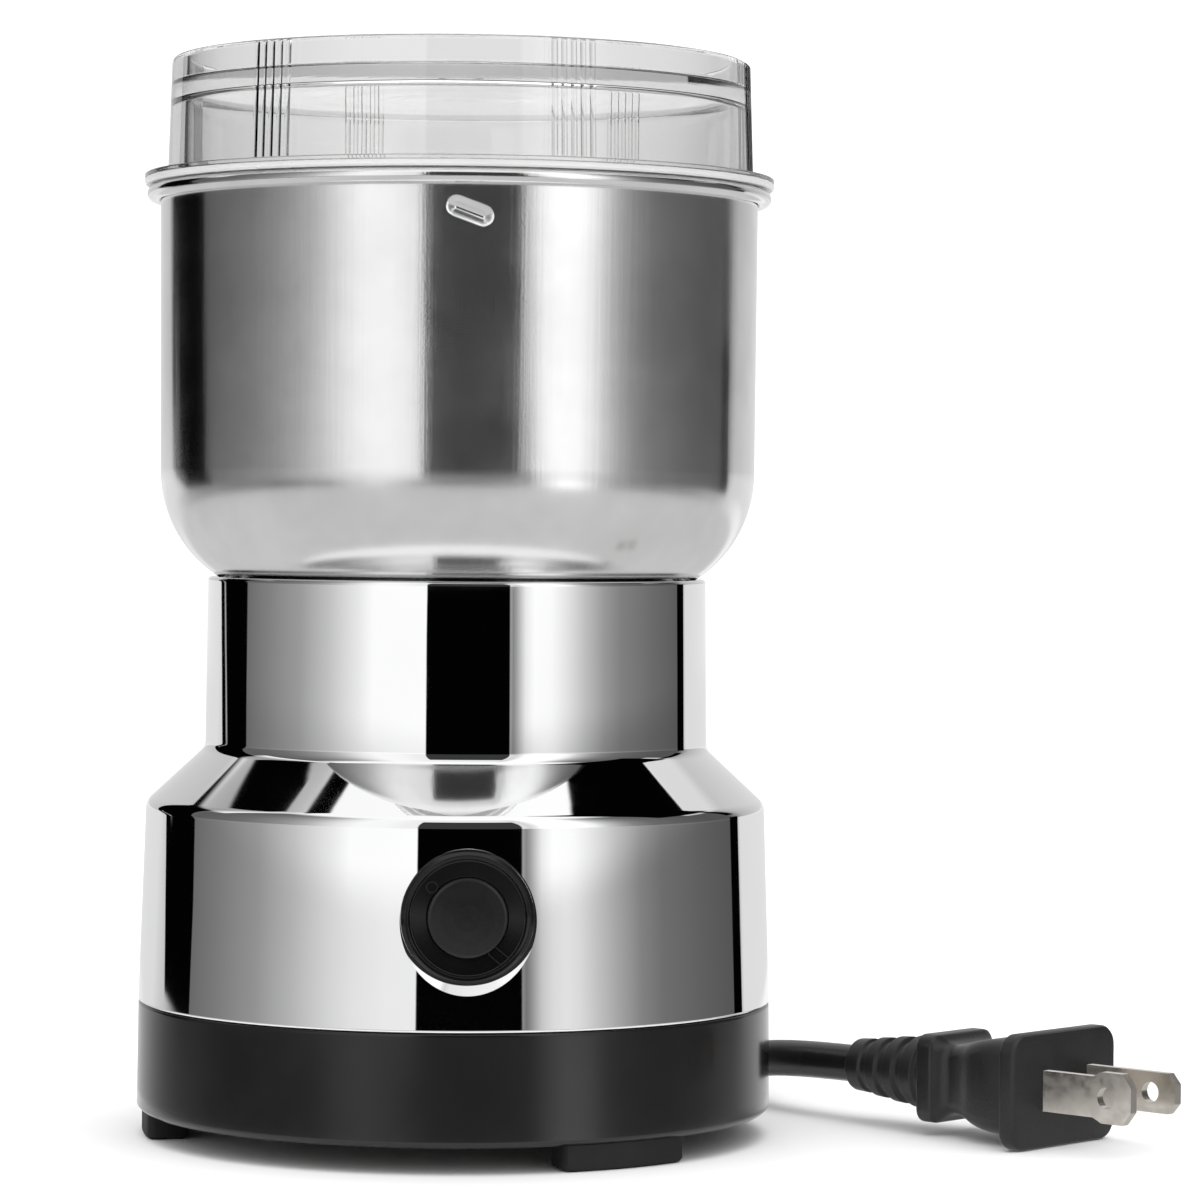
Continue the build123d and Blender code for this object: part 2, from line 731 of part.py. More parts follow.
# ================================================================ brush gear
with BuildPart() as brush_holders:
    for s in (1, -1):
        with BuildSketch(Plane.YZ.offset(12.0 if s > 0 else -27.0)):
            with Locations((0, brush_z)):
                Rectangle(7.4, 6.4)
        extrude(amount=15.0)
        with BuildSketch(Plane.YZ.offset(12.0 if s > 0 else -26.4)):
            with Locations((0, brush_z)):
                Rectangle(6.2, 5.2)
        extrude(amount=14.4, mode=Mode.SUBTRACT)
brush_holders.part.label = "brush_holders"
export_step(brush_holders.part, "parts/brush_holders.step")

with BuildPart() as carbon_brushes:
    with Locations((15.0, 0, brush_z), (-15.0, 0, brush_z)):
        Box(11.0, 6.0, 5.0)
    with BuildSketch(Plane.XY.offset(30)):
        Circle(commutator_r + 0.05)
    extrude(amount=15, mode=Mode.SUBTRACT)
carbon_brushes.part.label = "carbon_brushes"
export_step(carbon_brushes.part, "parts/carbon_brushes.step")

with BuildPart() as brush_springs:
    for s in (1, -1):
        with BuildLine() as coil_line:
            Helix(pitch=1.15, height=5.2, radius=1.75, center=(20.8 * s, 0, brush_z), direction=(s, 0, 0))
        with BuildSketch(Plane(origin=coil_line.line @ 0, z_dir=coil_line.line % 0)):
            Circle(0.24)
        sweep(path=coil_line.line, is_frenet=True)
brush_springs.part.label = "brush_springs"
export_step(brush_springs.part, "parts/brush_springs.step")

# ================================================================ push switch
with BuildPart() as switch_bezel:
    with BuildSketch(lathe_plane(switch_a, switch_z)) as prof:
        with BuildLine():
            Polyline(
                (6.08, 38.5), (8.35, 38.5), (8.35, collar_h), (9.9, collar_h), (9.9, 48.95), (9.3, 49.4),
                (8.8, 49.3), (8.6, 48.65), (6.08, 48.55), close=True,
            )
        make_face()
        fillet(near(prof.vertices(), 9.9, 48.95), 0.35)
        fillet(near(prof.vertices(), 9.3, 49.4), 0.2)
    revolve(axis=outward(switch_a, switch_z))
    # latch tab and moulding mark on the ring's floor
    with BuildSketch(radial_plane(48.4, switch_a, switch_z)):
        with Locations(Location((4.7, -5.7), -40)):
            SlotOverall(4.4, 1.9)
        with Locations((-5.6, 4.6)):
            Circle(0.95)
            Circle(0.7, mode=Mode.SUBTRACT)
        Circle(6.2, mode=Mode.SUBTRACT)
    extrude(amount=0.55)
switch_bezel.part.label = "switch_bezel"
export_step(switch_bezel.part, "parts/switch_bezel.step")

with BuildPart() as switch_nut:
    with BuildSketch(radial_plane(42.4, switch_a, switch_z)):
        RegularPolygon(11.6, 6)
        Circle(8.4, mode=Mode.SUBTRACT)
    extrude(amount=2.2)
switch_nut.part.label = "switch_nut"
export_step(switch_nut.part, "parts/switch_nut.step")

with BuildPart() as switch_body:
    with BuildSketch(radial_plane(30.0, switch_a, switch_z)):
        RectangleRounded(17, 16, 1.5)
    extrude(amount=8.5)
    with BuildSketch(radial_plane(31.0, switch_a, switch_z)):
        Circle(1.75)
    extrude(amount=8.0, mode=Mode.SUBTRACT)
switch_body.part.label = "switch_body"
export_step(switch_body.part, "parts/switch_body.step")

with BuildPart() as switch_terminals:
    with BuildSketch(radial_plane(27.5, switch_a, switch_z)):
        with Locations((6.0, 0), (-6.0, 0)):
            Rectangle(0.8, 4.8)
    extrude(amount=2.5)
switch_terminals.part.label = "switch_terminals"
export_step(switch_terminals.part, "parts/switch_terminals.step")

with BuildPart() as button:
    with BuildSketch(lathe_plane(switch_a, switch_z)) as prof:
        with BuildLine():
            Line((0, 34.0), (1.65, 34.0))
            Line((1.65, 34.0), (1.65, 47.4))
            Line((1.65, 47.4), (3.7, 47.4))
            Line((3.7, 47.4), (3.7, 43.0))
            Line((3.7, 43.0), (button_r, 43.0))
            Line((button_r, 43.0), (button_r, 48.9))
            Line((button_r, 48.9), (5.85, 49.15))
            Line((5.85, 49.15), (5.5, 49.3))
            Line((5.5, 49.3), (4.0, 49.5))
            Line((4.0, 49.5), (2.0, 49.66))
            Line((2.0, 49.66), (0, 49.7))
            Line((0, 49.7), (0, 34.0))
        make_face()
    revolve(axis=outward(switch_a, switch_z))
button.part.label = "push_button"
export_step(button.part, "parts/push_button.step")

with BuildPart() as button_spring:
    with BuildLine() as coil_line:
        Helix(
            pitch=1.5, height=8.0, radius=2.7,
            center=(*pt(38.9, switch_a), switch_z),
            direction=(sin(radians(switch_a)), -cos(radians(switch_a)), 0),
        )
    with BuildSketch(Plane(origin=coil_line.line @ 0, z_dir=coil_line.line % 0)):
        Circle(0.28)
    sweep(path=coil_line.line, is_frenet=True)
button_spring.part.label = "button_spring"
export_step(button_spring.part, "parts/button_spring.step")

# ================================================================ lid
with BuildPart() as rib_bars:
    with BuildSketch(Plane.XY.offset(lid_flange_z1)):
        for g in rib_angles:
            for k in range(rib_count):
                a = g + (k - (rib_count - 1) / 2) * rib_pitch
                with Locations(Location(pt(45.8, a), a)):
                    Rectangle(0.8, 3.0)
    extrude(amount=lid_top - 0.5 - lid_flange_z1)
    with BuildSketch(Plane.XZ):
        with BuildLine():
            Polyline((44.5, 150), (lid_r0 + 0.3, 150), (lid_r0 + 0.3, lid_flange_z1), (lid_r1 + 0.3, lid_top),
                     (44.5, lid_top), close=True)
        make_face()
    revolve(axis=Axis.Z, mode=Mode.INTERSECT)

with BuildPart() as lugs:
    with BuildSketch(Plane.XY.offset(lug_z0)):
        for a in dent_a:
            with BuildLine():
                ThreePointArc(pt(lug_r, a - 5), pt(lug_r, a), pt(lug_r, a + 5))
                Line(pt(lug_r, a + 5), pt(44.0, a + 5.6))
                ThreePointArc(pt(44.0, a + 5.6), pt(44.0, a), pt(44.0, a - 5.6))
                Line(pt(44.0, a - 5.6), pt(lug_r, a - 5))
            make_face()
    extrude(amount=lug_z1 - lug_z0)

with BuildPart() as lid:
    with BuildSketch(Plane.XZ) as prof:
        with BuildLine():
            Polyline(
                (0, lid_disc_z0),
                (lid_inner_r, lid_disc_z0),
                (lid_inner_r + 0.1, skirt_z),
                (skirt_r, skirt_z),
                (skirt_r, lid_flange_z0),
                (lid_flange_r, lid_flange_z0),
                (lid_flange_r, lid_flange_z1),
                (lid_r0, lid_flange_z1),
                (lid_r1, lid_top),
                (lid_r1 - 2.7, lid_top),
                (lid_r1 - 2.6, lid_disc_z1),
                (0, lid_disc_z1),
                close=True,
            )
        make_face()
        fillet(near(prof.vertices(), lid_r1, lid_top), 0.6)
        fillet(near(prof.vertices(), lid_r1 - 2.7, lid_top), 0.6)
        fillet(near(prof.vertices(), lid_inner_r, lid_disc_z0), 1.0)
    revolve(axis=Axis.Z)
    add(rib_bars.part)
    add(lugs.part)
    # moulding gate on the disc
    with BuildSketch(Plane.XY.offset(lid_disc_z1 - 0.4)):
        Circle(2.4)
        Circle(1.9, mode=Mode.SUBTRACT)
    extrude(amount=0.7)
lid.part.label = "lid"
export_step(lid.part, "parts/lid.step")

with BuildPart() as lid_seal:
    with BuildSketch(Plane.XZ):
        with BuildLine():
            Polyline((45.35, seal_z0), (seal_r - 0.25, seal_z0), (seal_r, seal_z0 + 0.25),
                     (seal_r, seal_z1), (45.35, seal_z1), close=True)
        make_face()
    revolve(axis=Axis.Z)
lid_seal.part.label = "lid_seal"
export_step(lid_seal.part, "parts/lid_seal.step")

# ================================================================ cord outlet
with BuildPart() as strain_relief:
    with BuildSketch(Plane(origin=(0, 0, cord_z), x_dir=(1, 0, 0), z_dir=(0, 0, 1))) as prof:
        with BuildLine():
            Polyline(
                (0, 44.5), (5.7, 44.5), (5.7, 46.7), (4.98, 46.7), (4.98, 50.15), (6.4, 50.15), (6.4, 51.6),
                (5.6, 52.4), (5.6, 54.6), (4.6, 54.8), (4.6, 56.2), (5.35, 56.4), (5.3, 59.0), (4.45, 59.2),
                (4.45, 60.6), (5.05, 60.8), (4.95, 63.4), (4.2, 63.6), (4.2, 65.0), (4.75, 65.2), (4.65, 67.8),
                (4.0, 68.0), (4.0, 69.4), (4.45, 69.6), (4.3, 72.2), (3.8, 72.4), (3.75, boot_tip),
                (0, boot_tip), close=True,
            )
        make_face()
    revolve(axis=Axis((0, 0, cord_z), (0, 1, 0)))
strain_relief.part.label = "strain_relief"
export_step(strain_relief.part, "parts/strain_relief.step")

with BuildPart() as cord_core:
    with BuildSketch(Plane.XZ.offset(-44.5)):
        with Locations((0, cord_z)):
            Circle(cord_d / 2)
    extrude(amount=13.5)
cord_core.part.label = "cord_core"
export_step(cord_core.part, "parts/cord_core.step")

with BuildPart() as cord_clamp:
    with BuildSketch(Plane.XZ.offset(-40.2)):
        with Locations((0, cord_z + 2.4)):
            RectangleRounded(25, 4.8, 0.8)
        with Locations((0, cord_z)):
            Circle(cord_d / 2, mode=Mode.SUBTRACT)
    extrude(amount=6.4)
    with BuildSketch(Plane.XY.offset(cord_z)):
        with Locations((9, 37), (-9, 37)):
            Circle(1.3)
    extrude(amount=6, mode=Mode.SUBTRACT)
cord_clamp.part.label = "cord_clamp"
export_step(cord_clamp.part, "parts/cord_clamp.step")

with BuildPart() as clamp_screws:
    with BuildSketch(Plane.XY.offset(cord_z + 4.8)):
        with Locations((9, 37), (-9, 37)):
            Circle(2.5)
    extrude(amount=1.8)
    fillet(clamp_screws.edges().group_by(Axis.Z)[-1], 0.8)
    with BuildSketch(Plane.XY.offset(cord_z + 5.7)):
        with Locations((9, 37), (-9, 37)):
            Rectangle(2.8, 0.7)
            Rectangle(0.7, 2.8)
    extrude(amount=1.0, mode=Mode.SUBTRACT)
    with BuildSketch(Plane.XY.offset(8.0)):
        with Locations((9, 37), (-9, 37)):
            Circle(1.1)
    extrude(amount=cord_z + 4.8 - 8.0)
clamp_screws.part.label = "clamp_screws"
export_step(clamp_screws.part, "parts/clamp_screws.step")

# ================================================================ inner leads
tr = (*[c for c in (27.5 * sin(radians(switch_a)) + 6.0 * cos(radians(switch_a)),
                    -27.5 * cos(radians(switch_a)) + 6.0 * sin(radians(switch_a)))], switch_z)
tl = (*[c for c in (27.5 * sin(radians(switch_a)) - 6.0 * cos(radians(switch_a)),
                    -27.5 * cos(radians(switch_a)) - 6.0 * sin(radians(switch_a)))], switch_z)
leads = (
    [(1.5, 31.0, cord_z), (11, 29.5, 14), (25, 20, 20), (31.5, 2, 24.5), (27, -16, 31), (15, -24.5, 36.5),
     (tr[0] + 0.3, tr[1] + 0.8, tr[2])],
    [(-1.5, 31.0, cord_z), (-11, 29.5, 14), (-24, 21, 20), (-31, 9, 29), (-30, 11, 38), (-24.0, 12, 43.4)],
    [(tl[0] - 0.3, tl[1] + 0.8, tl[2]), (-13, -25.5, 37.0), (-24, -18, 35), (-29.5, -9, 35.6), (-27.6, -0.6, brush_z)],
)
with BuildPart() as lead_wires:
    for route in leads:
        with BuildLine() as wire:
            FilletPolyline(*route, radius=[0.8 * r for r in route_radii(route)])
        with BuildSketch(Plane(origin=wire.line @ 0, z_dir=wire.line % 0)):
            Circle(0.9)
        sweep(path=wire.line)
lead_wires.part.label = "lead_wires"
export_step(lead_wires.part, "parts/lead_wires.step")

# ================================================================ free cord
route_in = [
    (0, boot_tip, cord_z), (0, 88.5, cord_z), (-3.8, 103.0, 9.4), (-13.5, 116.5, 5.2), (-20.5, 129.5, 3.8),
    (coil_x - 36.0, coil_y, coil_z0 + 3.0),
]
pd = (cos(radians(plug_a)), -sin(radians(plug_a)), 0.0)
relief_len = 41.5
relief_end = tuple(plug_f[i] - relief_len * pd[i] for i in range(3))
route_out = [
    relief_end, tuple(relief_end[i] - 14.5 * pd[i] for i in range(3)), (48.6, 39.0, 6.6), (48.2, 57.0, 3.1), (49.3, 77.0, 3.1), (50.6, 97.0, 4.3),
    (50.3, 121.5, 8.0), (coil_x + 36.0, coil_y, coil_z0 + 9.0),
]
with BuildPart() as cord_lead_in:
    with BuildLine() as line:
        FilletPolyline(*route_in, radius=route_radii(route_in))
    with BuildSketch(Plane(origin=line.line @ 0, z_dir=line.line % 0)):
        Circle(cord_d / 2)
    sweep(path=line.line)
cord_lead_in.part.label = "cord_lead_in"
export_step(cord_lead_in.part, "parts/cord_lead_in.step")
print("cord_lead_in", round(sum(e.length for e in line.edges()), 1), [round(r, 1) for r in route_radii(route_in)])

with BuildPart() as cord_lead_out:
    with BuildLine() as line:
        FilletPolyline(*route_out, radius=route_radii(route_out))
    with BuildSketch(Plane(origin=line.line @ 0, z_dir=line.line % 0)):
        Circle(cord_d / 2)
    sweep(path=line.line)
cord_lead_out.part.label = "cord_lead_out"
export_step(cord_lead_out.part, "parts/cord_lead_out.step")
print("cord_lead_out", round(sum(e.length for e in line.edges()), 1), [round(r, 1) for r in route_radii(route_out)])

with BuildPart() as cord_coil:
    with BuildSketch(Plane(origin=(coil_x, coil_y, 0), x_dir=(1, 0, 0), z_dir=(0, -1, 0))):
        with Locations((coil_r, coil_z0 + coil_w / 2)):
            RectangleRounded(coil_w, coil_w, 2.4)
    revolve(axis=Axis((coil_x, coil_y, 0), (0, 0, 1)))
cord_coil.part.label = "cord_coil"
export_step(cord_coil.part, "parts/cord_coil.step")

with BuildPart() as cord_tie:
    with BuildSketch(Plane.YZ.offset(coil_x - 3.5)):
        with Locations((coil_y + coil_r - 0.1, coil_z0 + coil_w / 2)):
            RectangleRounded(coil_w + 1.5, coil_w + 1.0, 2.6)
            RectangleRounded(coil_w + 0.6, coil_w + 0.05, 2.2, mode=Mode.SUBTRACT)
    extrude(amount=7.0)
cord_tie.part.label = "cord_tie"
export_step(cord_tie.part, "parts/cord_tie.step")

# ================================================================ plug


def plug_plane(h):
    """Plane across the plug, h in front of its front face; x level, y up."""
    return Plane(
        origin=(plug_f[0] + h * pd[0], plug_f[1] + h * pd[1], plug_f[2]),
        x_dir=(-pd[1], pd[0], 0),
        z_dir=pd,
    )


with BuildPart() as plug_body:
    with BuildSketch(plug_plane(-3.0)):
        RectangleRounded(26.0, 18.0, 3.2)
    extrude(amount=3.0)
    fillet(plug_body.edges().filter_by(lambda e: e.length > 10).sort_by(Axis(plug_f, pd))[-4:], 0.5)
    sections = (
        (-3.0, 17.6, 14.2, 2.6), (-5.0, 18.4, 14.8, 2.6), (-9.0, 18.2, 14.6, 2.6), (-12.5, 16.6, 13.6, 2.5),
        (-15.5, 13.8, 11.9, 2.3), (-17.8, 12.5, 11.0, 2.1),
    )
    for h, w, t, r in sections:
        with BuildSketch(plug_plane(h)):
            RectangleRounded(w, t, r)
    loft()
    for h, w, t, r in ((-17.8, 12.5, 11.0, 2.1), (-19.2, 13.0, 11.5, 2.2), (-20.6, 16.0, 14.0, 2.2)):
        with BuildSketch(plug_plane(h)):
            RectangleRounded(w, t, r)
    loft()
    with BuildSketch(plug_plane(-23.5)):
        RectangleRounded(16.0, 14.0, 2.2)
    extrude(amount=2.9)
    # ringed tail that eases the cord's bend
    with BuildSketch(Plane(origin=plug_f, x_dir=(0, 0, 1), z_dir=(-pd[1], pd[0], 0))) as prof:
        with BuildLine():
            Polyline(
                (0, -22.0), (5.6, -22.0), (6.2, -23.6), (6.2, -24.5), (4.95, -24.7), (4.95, -26.4), (5.85, -26.7),
                (5.7, -28.9), (4.6, -29.1), (4.6, -30.6), (5.4, -30.9), (5.25, -33.0), (4.25, -33.2), (4.25, -34.6),
                (4.9, -34.9), (4.75, -36.9), (3.9, -37.1), (3.9, -38.4), (4.4, -38.7), (4.2, -relief_len),
                (0, -relief_len), close=True,
            )
        make_face()
    revolve(axis=Axis(plug_f, pd))
    # shallow recessed panel on both broad faces
    for s in (1, -1):
        with BuildSketch(Plane(origin=(plug_f[0], plug_f[1], plug_f[2] + s * 6.9), x_dir=(-pd[1], pd[0], 0), z_dir=(0, 0, s))):
            with Locations((0, s * 10.5 if s > 0 else 10.5)):
                Rectangle(6.0, 9.5)
        extrude(amount=2.0, mode=Mode.SUBTRACT)
plug_body.part.label = "plug_body"
export_step(plug_body.part, "parts/plug_body.step")

with BuildPart() as plug_blades:
    for s in (1, -1):
        with BuildSketch(
            Plane(
                origin=(plug_f[0] + s * 5.6 * -pd[1], plug_f[1] + s * 5.6 * pd[0], plug_f[2]),
                x_dir=pd,
                z_dir=(-pd[1], pd[0], 0),
            )
        ):
            with BuildLine():
                if s > 0:
                    Polyline((0, -3.17), (15.6, -3.17), (17.0, -1.5), (17.0, 1.5), (15.6, 3.17), (0, 3.17), close=True)
                else:
                    Polyline((0, -3.17), (9.6, -3.17), (11.2, -3.95), (15.2, -3.95), (16.8, -1.9), (16.8, 1.9),
                             (15.2, 3.95), (11.2, 3.95), (9.6, 3.17), (0, 3.17), close=True)
            make_face()
            with Locations((12.2 if s > 0 else 12.0, 0)):
                Circle(1.6, mode=Mode.SUBTRACT)
        extrude(amount=1.5)
plug_blades.part.label = "plug_blades"
export_step(plug_blades.part, "parts/plug_blades.step")
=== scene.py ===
import json
import math

import bmesh
import bpy
from mathutils import Matrix, Vector


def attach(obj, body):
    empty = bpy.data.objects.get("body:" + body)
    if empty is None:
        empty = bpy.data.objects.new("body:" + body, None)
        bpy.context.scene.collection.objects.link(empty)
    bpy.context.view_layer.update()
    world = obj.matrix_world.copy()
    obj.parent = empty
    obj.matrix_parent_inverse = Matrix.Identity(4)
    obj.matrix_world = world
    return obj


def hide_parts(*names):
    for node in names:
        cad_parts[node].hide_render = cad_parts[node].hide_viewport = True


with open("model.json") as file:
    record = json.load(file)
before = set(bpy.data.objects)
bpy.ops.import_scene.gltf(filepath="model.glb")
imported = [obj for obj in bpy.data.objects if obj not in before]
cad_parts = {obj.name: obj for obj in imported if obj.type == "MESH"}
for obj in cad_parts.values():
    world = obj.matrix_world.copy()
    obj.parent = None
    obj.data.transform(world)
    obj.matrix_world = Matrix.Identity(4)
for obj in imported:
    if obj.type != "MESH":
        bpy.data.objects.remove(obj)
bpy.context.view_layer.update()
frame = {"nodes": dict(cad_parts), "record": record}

MM = 0.001
NODES = frame["nodes"]
scene = bpy.context.scene
scene.view_settings.view_transform = "Standard"
scene.view_settings.look = "None"
scene.view_settings.exposure = 0.0
scene.view_settings.gamma = 1.0

# ------------------------------------------------------------------ dimensions
SWITCH_A, SWITCH_Z = 2.2, 38.1
DENTS = (1.8, 121.8, 241.8)
DENT_Z, DENT_LEN, DENT_TILT = 142.5, 4.2, 20.0
RIBS = (-38.4, 21.6, 81.6, 141.6, 201.6, 261.6)
RIB_PITCH, RIB_COUNT = 1.93, 5
FEET = (32.6, -87.4, 152.6)
FOOT_HALF = 12.9
SCREWS = (92.0, -28.0, 212.0)
PLUG_F = Vector((95.3, -15.3, 9.05))
PLUG_D = Vector((math.cos(math.radians(45)), -math.sin(math.radians(45)), 0.0))
PLUG_X = Vector((PLUG_D.x, -PLUG_D.y, 0.0))
COIL_X, COIL_Y = 14.0, 144.0

# ------------------------------------------------------------------ camera
eye = Vector((0.0, -0.7091, 0.09774))
turn, pitch, roll = 0.0319, 0.0189, 0.0079
ahead = Vector((math.sin(turn), math.cos(turn), 0.0))
right = Vector((math.cos(turn), -math.sin(turn), 0.0))
look = ahead * math.cos(pitch) - Vector((0, 0, 1)) * math.sin(pitch)
over = ahead * math.sin(pitch) + Vector((0, 0, 1)) * math.cos(pitch)
side = right * math.cos(roll) + over * math.sin(roll)
over = over * math.cos(roll) - right * math.sin(roll)
camera_data = bpy.data.cameras.new("camera")
camera_data.sensor_fit = "HORIZONTAL"
camera_data.sensor_width = 36.0
camera_data.lens = 4475.5 / 1200 * 36.0
camera_data.clip_start, camera_data.clip_end = 0.02, 30.0
camera = bpy.data.objects.new("camera", camera_data)
scene.collection.objects.link(camera)
camera.matrix_world = Matrix((
    (side.x, over.x, -look.x, eye.x),
    (side.y, over.y, -look.y, eye.y),
    (side.z, over.z, -look.z, eye.z),
    (0, 0, 0, 1),
))
scene.camera = camera


# ------------------------------------------------------------------ materials
class Shader:
    """A node material on one Principled shader, with short ways to add texture."""

    def __init__(self, name, color, roughness, metallic=0.0, **sockets):
        self.mat = bpy.data.materials.new(name)
        self.mat.use_nodes = True
        self.tree = self.mat.node_tree
        self.tree.nodes.clear()
        self.out = self.tree.nodes.new("ShaderNodeOutputMaterial")
        self.bsdf = self.tree.nodes.new("ShaderNodeBsdfPrincipled")
        self.tree.links.new(self.bsdf.outputs["BSDF"], self.out.inputs["Surface"])
        self.bsdf.inputs["Base Color"].default_value = (*color, 1.0)
        self.bsdf.inputs["Roughness"].default_value = roughness
        self.bsdf.inputs["Metallic"].default_value = metallic
        for key, value in sockets.items():
            self.bsdf.inputs[key.replace("_", " ")].default_value = value
        self.coords = self.tree.nodes.new("ShaderNodeTexCoord").outputs["Object"]
        self.color, self.roughness = color, roughness
        self.height = None

    def node(self, kind, **settings):
        n = self.tree.nodes.new(kind)
        for key, value in settings.items():
            setattr(n, key, value)
        return n

    def link(self, a, b):
        self.tree.links.new(a, b)

    def math(self, op, a, b=None, c=None):
        n = self.node("ShaderNodeMath", operation=op)
        for i, v in enumerate((a, b, c)):
            if v is None:
                continue
            if isinstance(v, (int, float)):
                n.inputs[i].default_value = v
            else:
                self.link(v, n.inputs[i])
        return n.outputs[0]

    def ramp(self, fac, low, high, a, b, smooth=True):
        n = self.node("ShaderNodeMapRange")
        n.interpolation_type = "SMOOTHSTEP" if smooth else "LINEAR"
        self.link(fac, n.inputs["Value"])
        n.inputs["From Min"].default_value = low
        n.inputs["From Max"].default_value = high
        n.inputs["To Min"].default_value = a
        n.inputs["To Max"].default_value = b
        return n.outputs["Result"]

    def stretched(self, sx, sy, sz, at=None):
        n = self.node("ShaderNodeMapping")
        n.inputs["Scale"].default_value = (sx, sy, sz)
        self.link(at or self.coords, n.inputs["Vector"])
        return n.outputs["Vector"]

    def noise(self, scale, detail=4.0, rough=0.55, at=None):
        n = self.node("ShaderNodeTexNoise")
        n.inputs["Scale"].default_value = scale
        n.inputs["Detail"].default_value = detail
        n.inputs["Roughness"].default_value = rough
        self.link(at or self.coords, n.inputs["Vector"])
        return n.outputs["Fac"]

    def cells(self, scale, at=None, feature="F1"):
        n = self.node("ShaderNodeTexVoronoi", feature=feature)
        n.inputs["Scale"].default_value = scale
        self.link(at or self.coords, n.inputs["Vector"])
        return n.outputs["Distance"]

    def vary_roughness(self, fac, low, high, a=0.3, b=0.7):
        self.link(self.ramp(fac, a, b, low, high), self.bsdf.inputs["Roughness"])

    def vary_color(self, fac, dark, light, a=0.3, b=0.7):
        n = self.node("ShaderNodeMix", data_type="RGBA")
        self.link(self.ramp(fac, a, b, 0.0, 1.0), n.inputs["Factor"])
        n.inputs[6].default_value = (*dark, 1.0)
        n.inputs[7].default_value = (*light, 1.0)
        self.link(n.outputs[2], self.bsdf.inputs["Base Color"])

    def bump(self, fac, distance, strength=1.0):
        n = self.node("ShaderNodeBump")
        n.inputs["Strength"].default_value = strength
        n.inputs["Distance"].default_value = distance
        self.link(fac, n.inputs["Height"])
        if self.height is not None:
            self.link(self.height, n.inputs["Normal"])
        self.height = n.outputs["Normal"]
        self.link(self.height, self.bsdf.inputs["Normal"])

    def around_z(self):
        """Angle round the Z axis times 45 mm, distance from it, and height: coordinates
        in which a turned part's marks run straight."""
        s = self.node("ShaderNodeSeparateXYZ")
        self.link(self.coords, s.inputs[0])
        angle = self.math("ARCTAN2", s.outputs[0], self.math("MULTIPLY", s.outputs[1], -1.0))
        radius = self.math("SQRT", self.math("ADD", self.math("MULTIPLY", s.outputs[0], s.outputs[0]),
                                             self.math("MULTIPLY", s.outputs[1], s.outputs[1])))
        c = self.node("ShaderNodeCombineXYZ")
        self.link(self.math("MULTIPLY", angle, 0.045), c.inputs[0])
        self.link(radius, c.inputs[1])
        self.link(s.outputs[2], c.inputs[2])
        return c.outputs[0]

    def tangent_round_z(self, anisotropic, rotation=0.0):
        self.bsdf.inputs["Anisotropic"].default_value = anisotropic
        self.bsdf.inputs["Anisotropic Rotation"].default_value = rotation
        n = self.node("ShaderNodeTangent", direction_type="RADIAL", axis="Z")
        self.link(n.outputs["Tangent"], self.bsdf.inputs["Tangent"])


def chrome():
    s = Shader("plated_chrome", (0.86, 0.86, 0.865), 0.03, 1.0)
    s.vary_roughness(s.noise(45.0, 5.0), 0.012, 0.045, 0.35, 0.75)
    s.vary_color(s.noise(18.0, 3.0), (0.84, 0.84, 0.845), (0.89, 0.89, 0.89))
    s.bump(s.noise(1.0, 1.0, 0.4, s.stretched(55.0, 30.0, 55.0, s.around_z())), 0.000022, 0.8)
    s.bump(s.noise(420.0, 2.0), 0.0000006, 0.8)
    return s.mat


def bowl_steel():
    s = Shader("drawn_steel", (0.84, 0.84, 0.84), 0.24, 1.0)
    at = s.around_z()
    fine = s.noise(1.0, 3.0, 0.6, s.stretched(3600.0, 900.0, 60.0, at))
    marks = s.noise(1.0, 2.0, 0.5, s.stretched(900.0, 300.0, 22.0, at))
    broad = s.noise(60.0, 3.0)
    split = s.node("ShaderNodeSeparateXYZ")
    s.link(s.coords, split.inputs[0])
    rim = s.ramp(split.outputs[2], 0.1463, 0.1468, 0.0, 1.0)
    rough = s.ramp(s.math("ADD", s.math("MULTIPLY", fine, 0.35), s.math("MULTIPLY", broad, 0.65)), 0.3, 0.7, 0.150, 0.195)
    n = s.node("ShaderNodeMix")
    s.link(rim, n.inputs["Factor"])
    s.link(rough, n.inputs[2])
    n.inputs[3].default_value = 0.12
    s.link(n.outputs[0], s.bsdf.inputs["Roughness"])
    s.vary_color(broad, (0.78, 0.78, 0.78), (0.88, 0.88, 0.88))
    s.bump(fine, 0.000004, 0.5)
    s.bump(s.noise(1.0, 2.0, 0.5, s.stretched(110.0, 300.0, 3000.0, at)), 0.000004, 0.5)
    s.bump(s.noise(2400.0, 2.0), 0.000008, 0.5)
    s.bump(marks, 0.000020, 0.5)
    s.bump(s.noise(38.0, 2.0), 0.00005, 0.5)
    s.tangent_round_z(0.62, 0.25)
    return s.mat


def steel(name, color=(0.66, 0.66, 0.65), rough=0.28, turned=False, scale=900.0):
    s = Shader(name, color, rough, 1.0)
    at = s.around_z() if turned else s.coords
    fac = s.noise(1.0, 4.0, 0.6, s.stretched(scale * 0.15, scale * 2, scale * 6, at)) if turned else s.noise(scale, 4.0)
    s.vary_roughness(fac, rough * 0.75, rough * 1.35)
    s.vary_color(s.noise(160.0, 4.0), tuple(c * 0.86 for c in color), tuple(min(1, c * 1.08) for c in color))
    s.bump(fac, 0.00001, 0.4)
    return s.mat


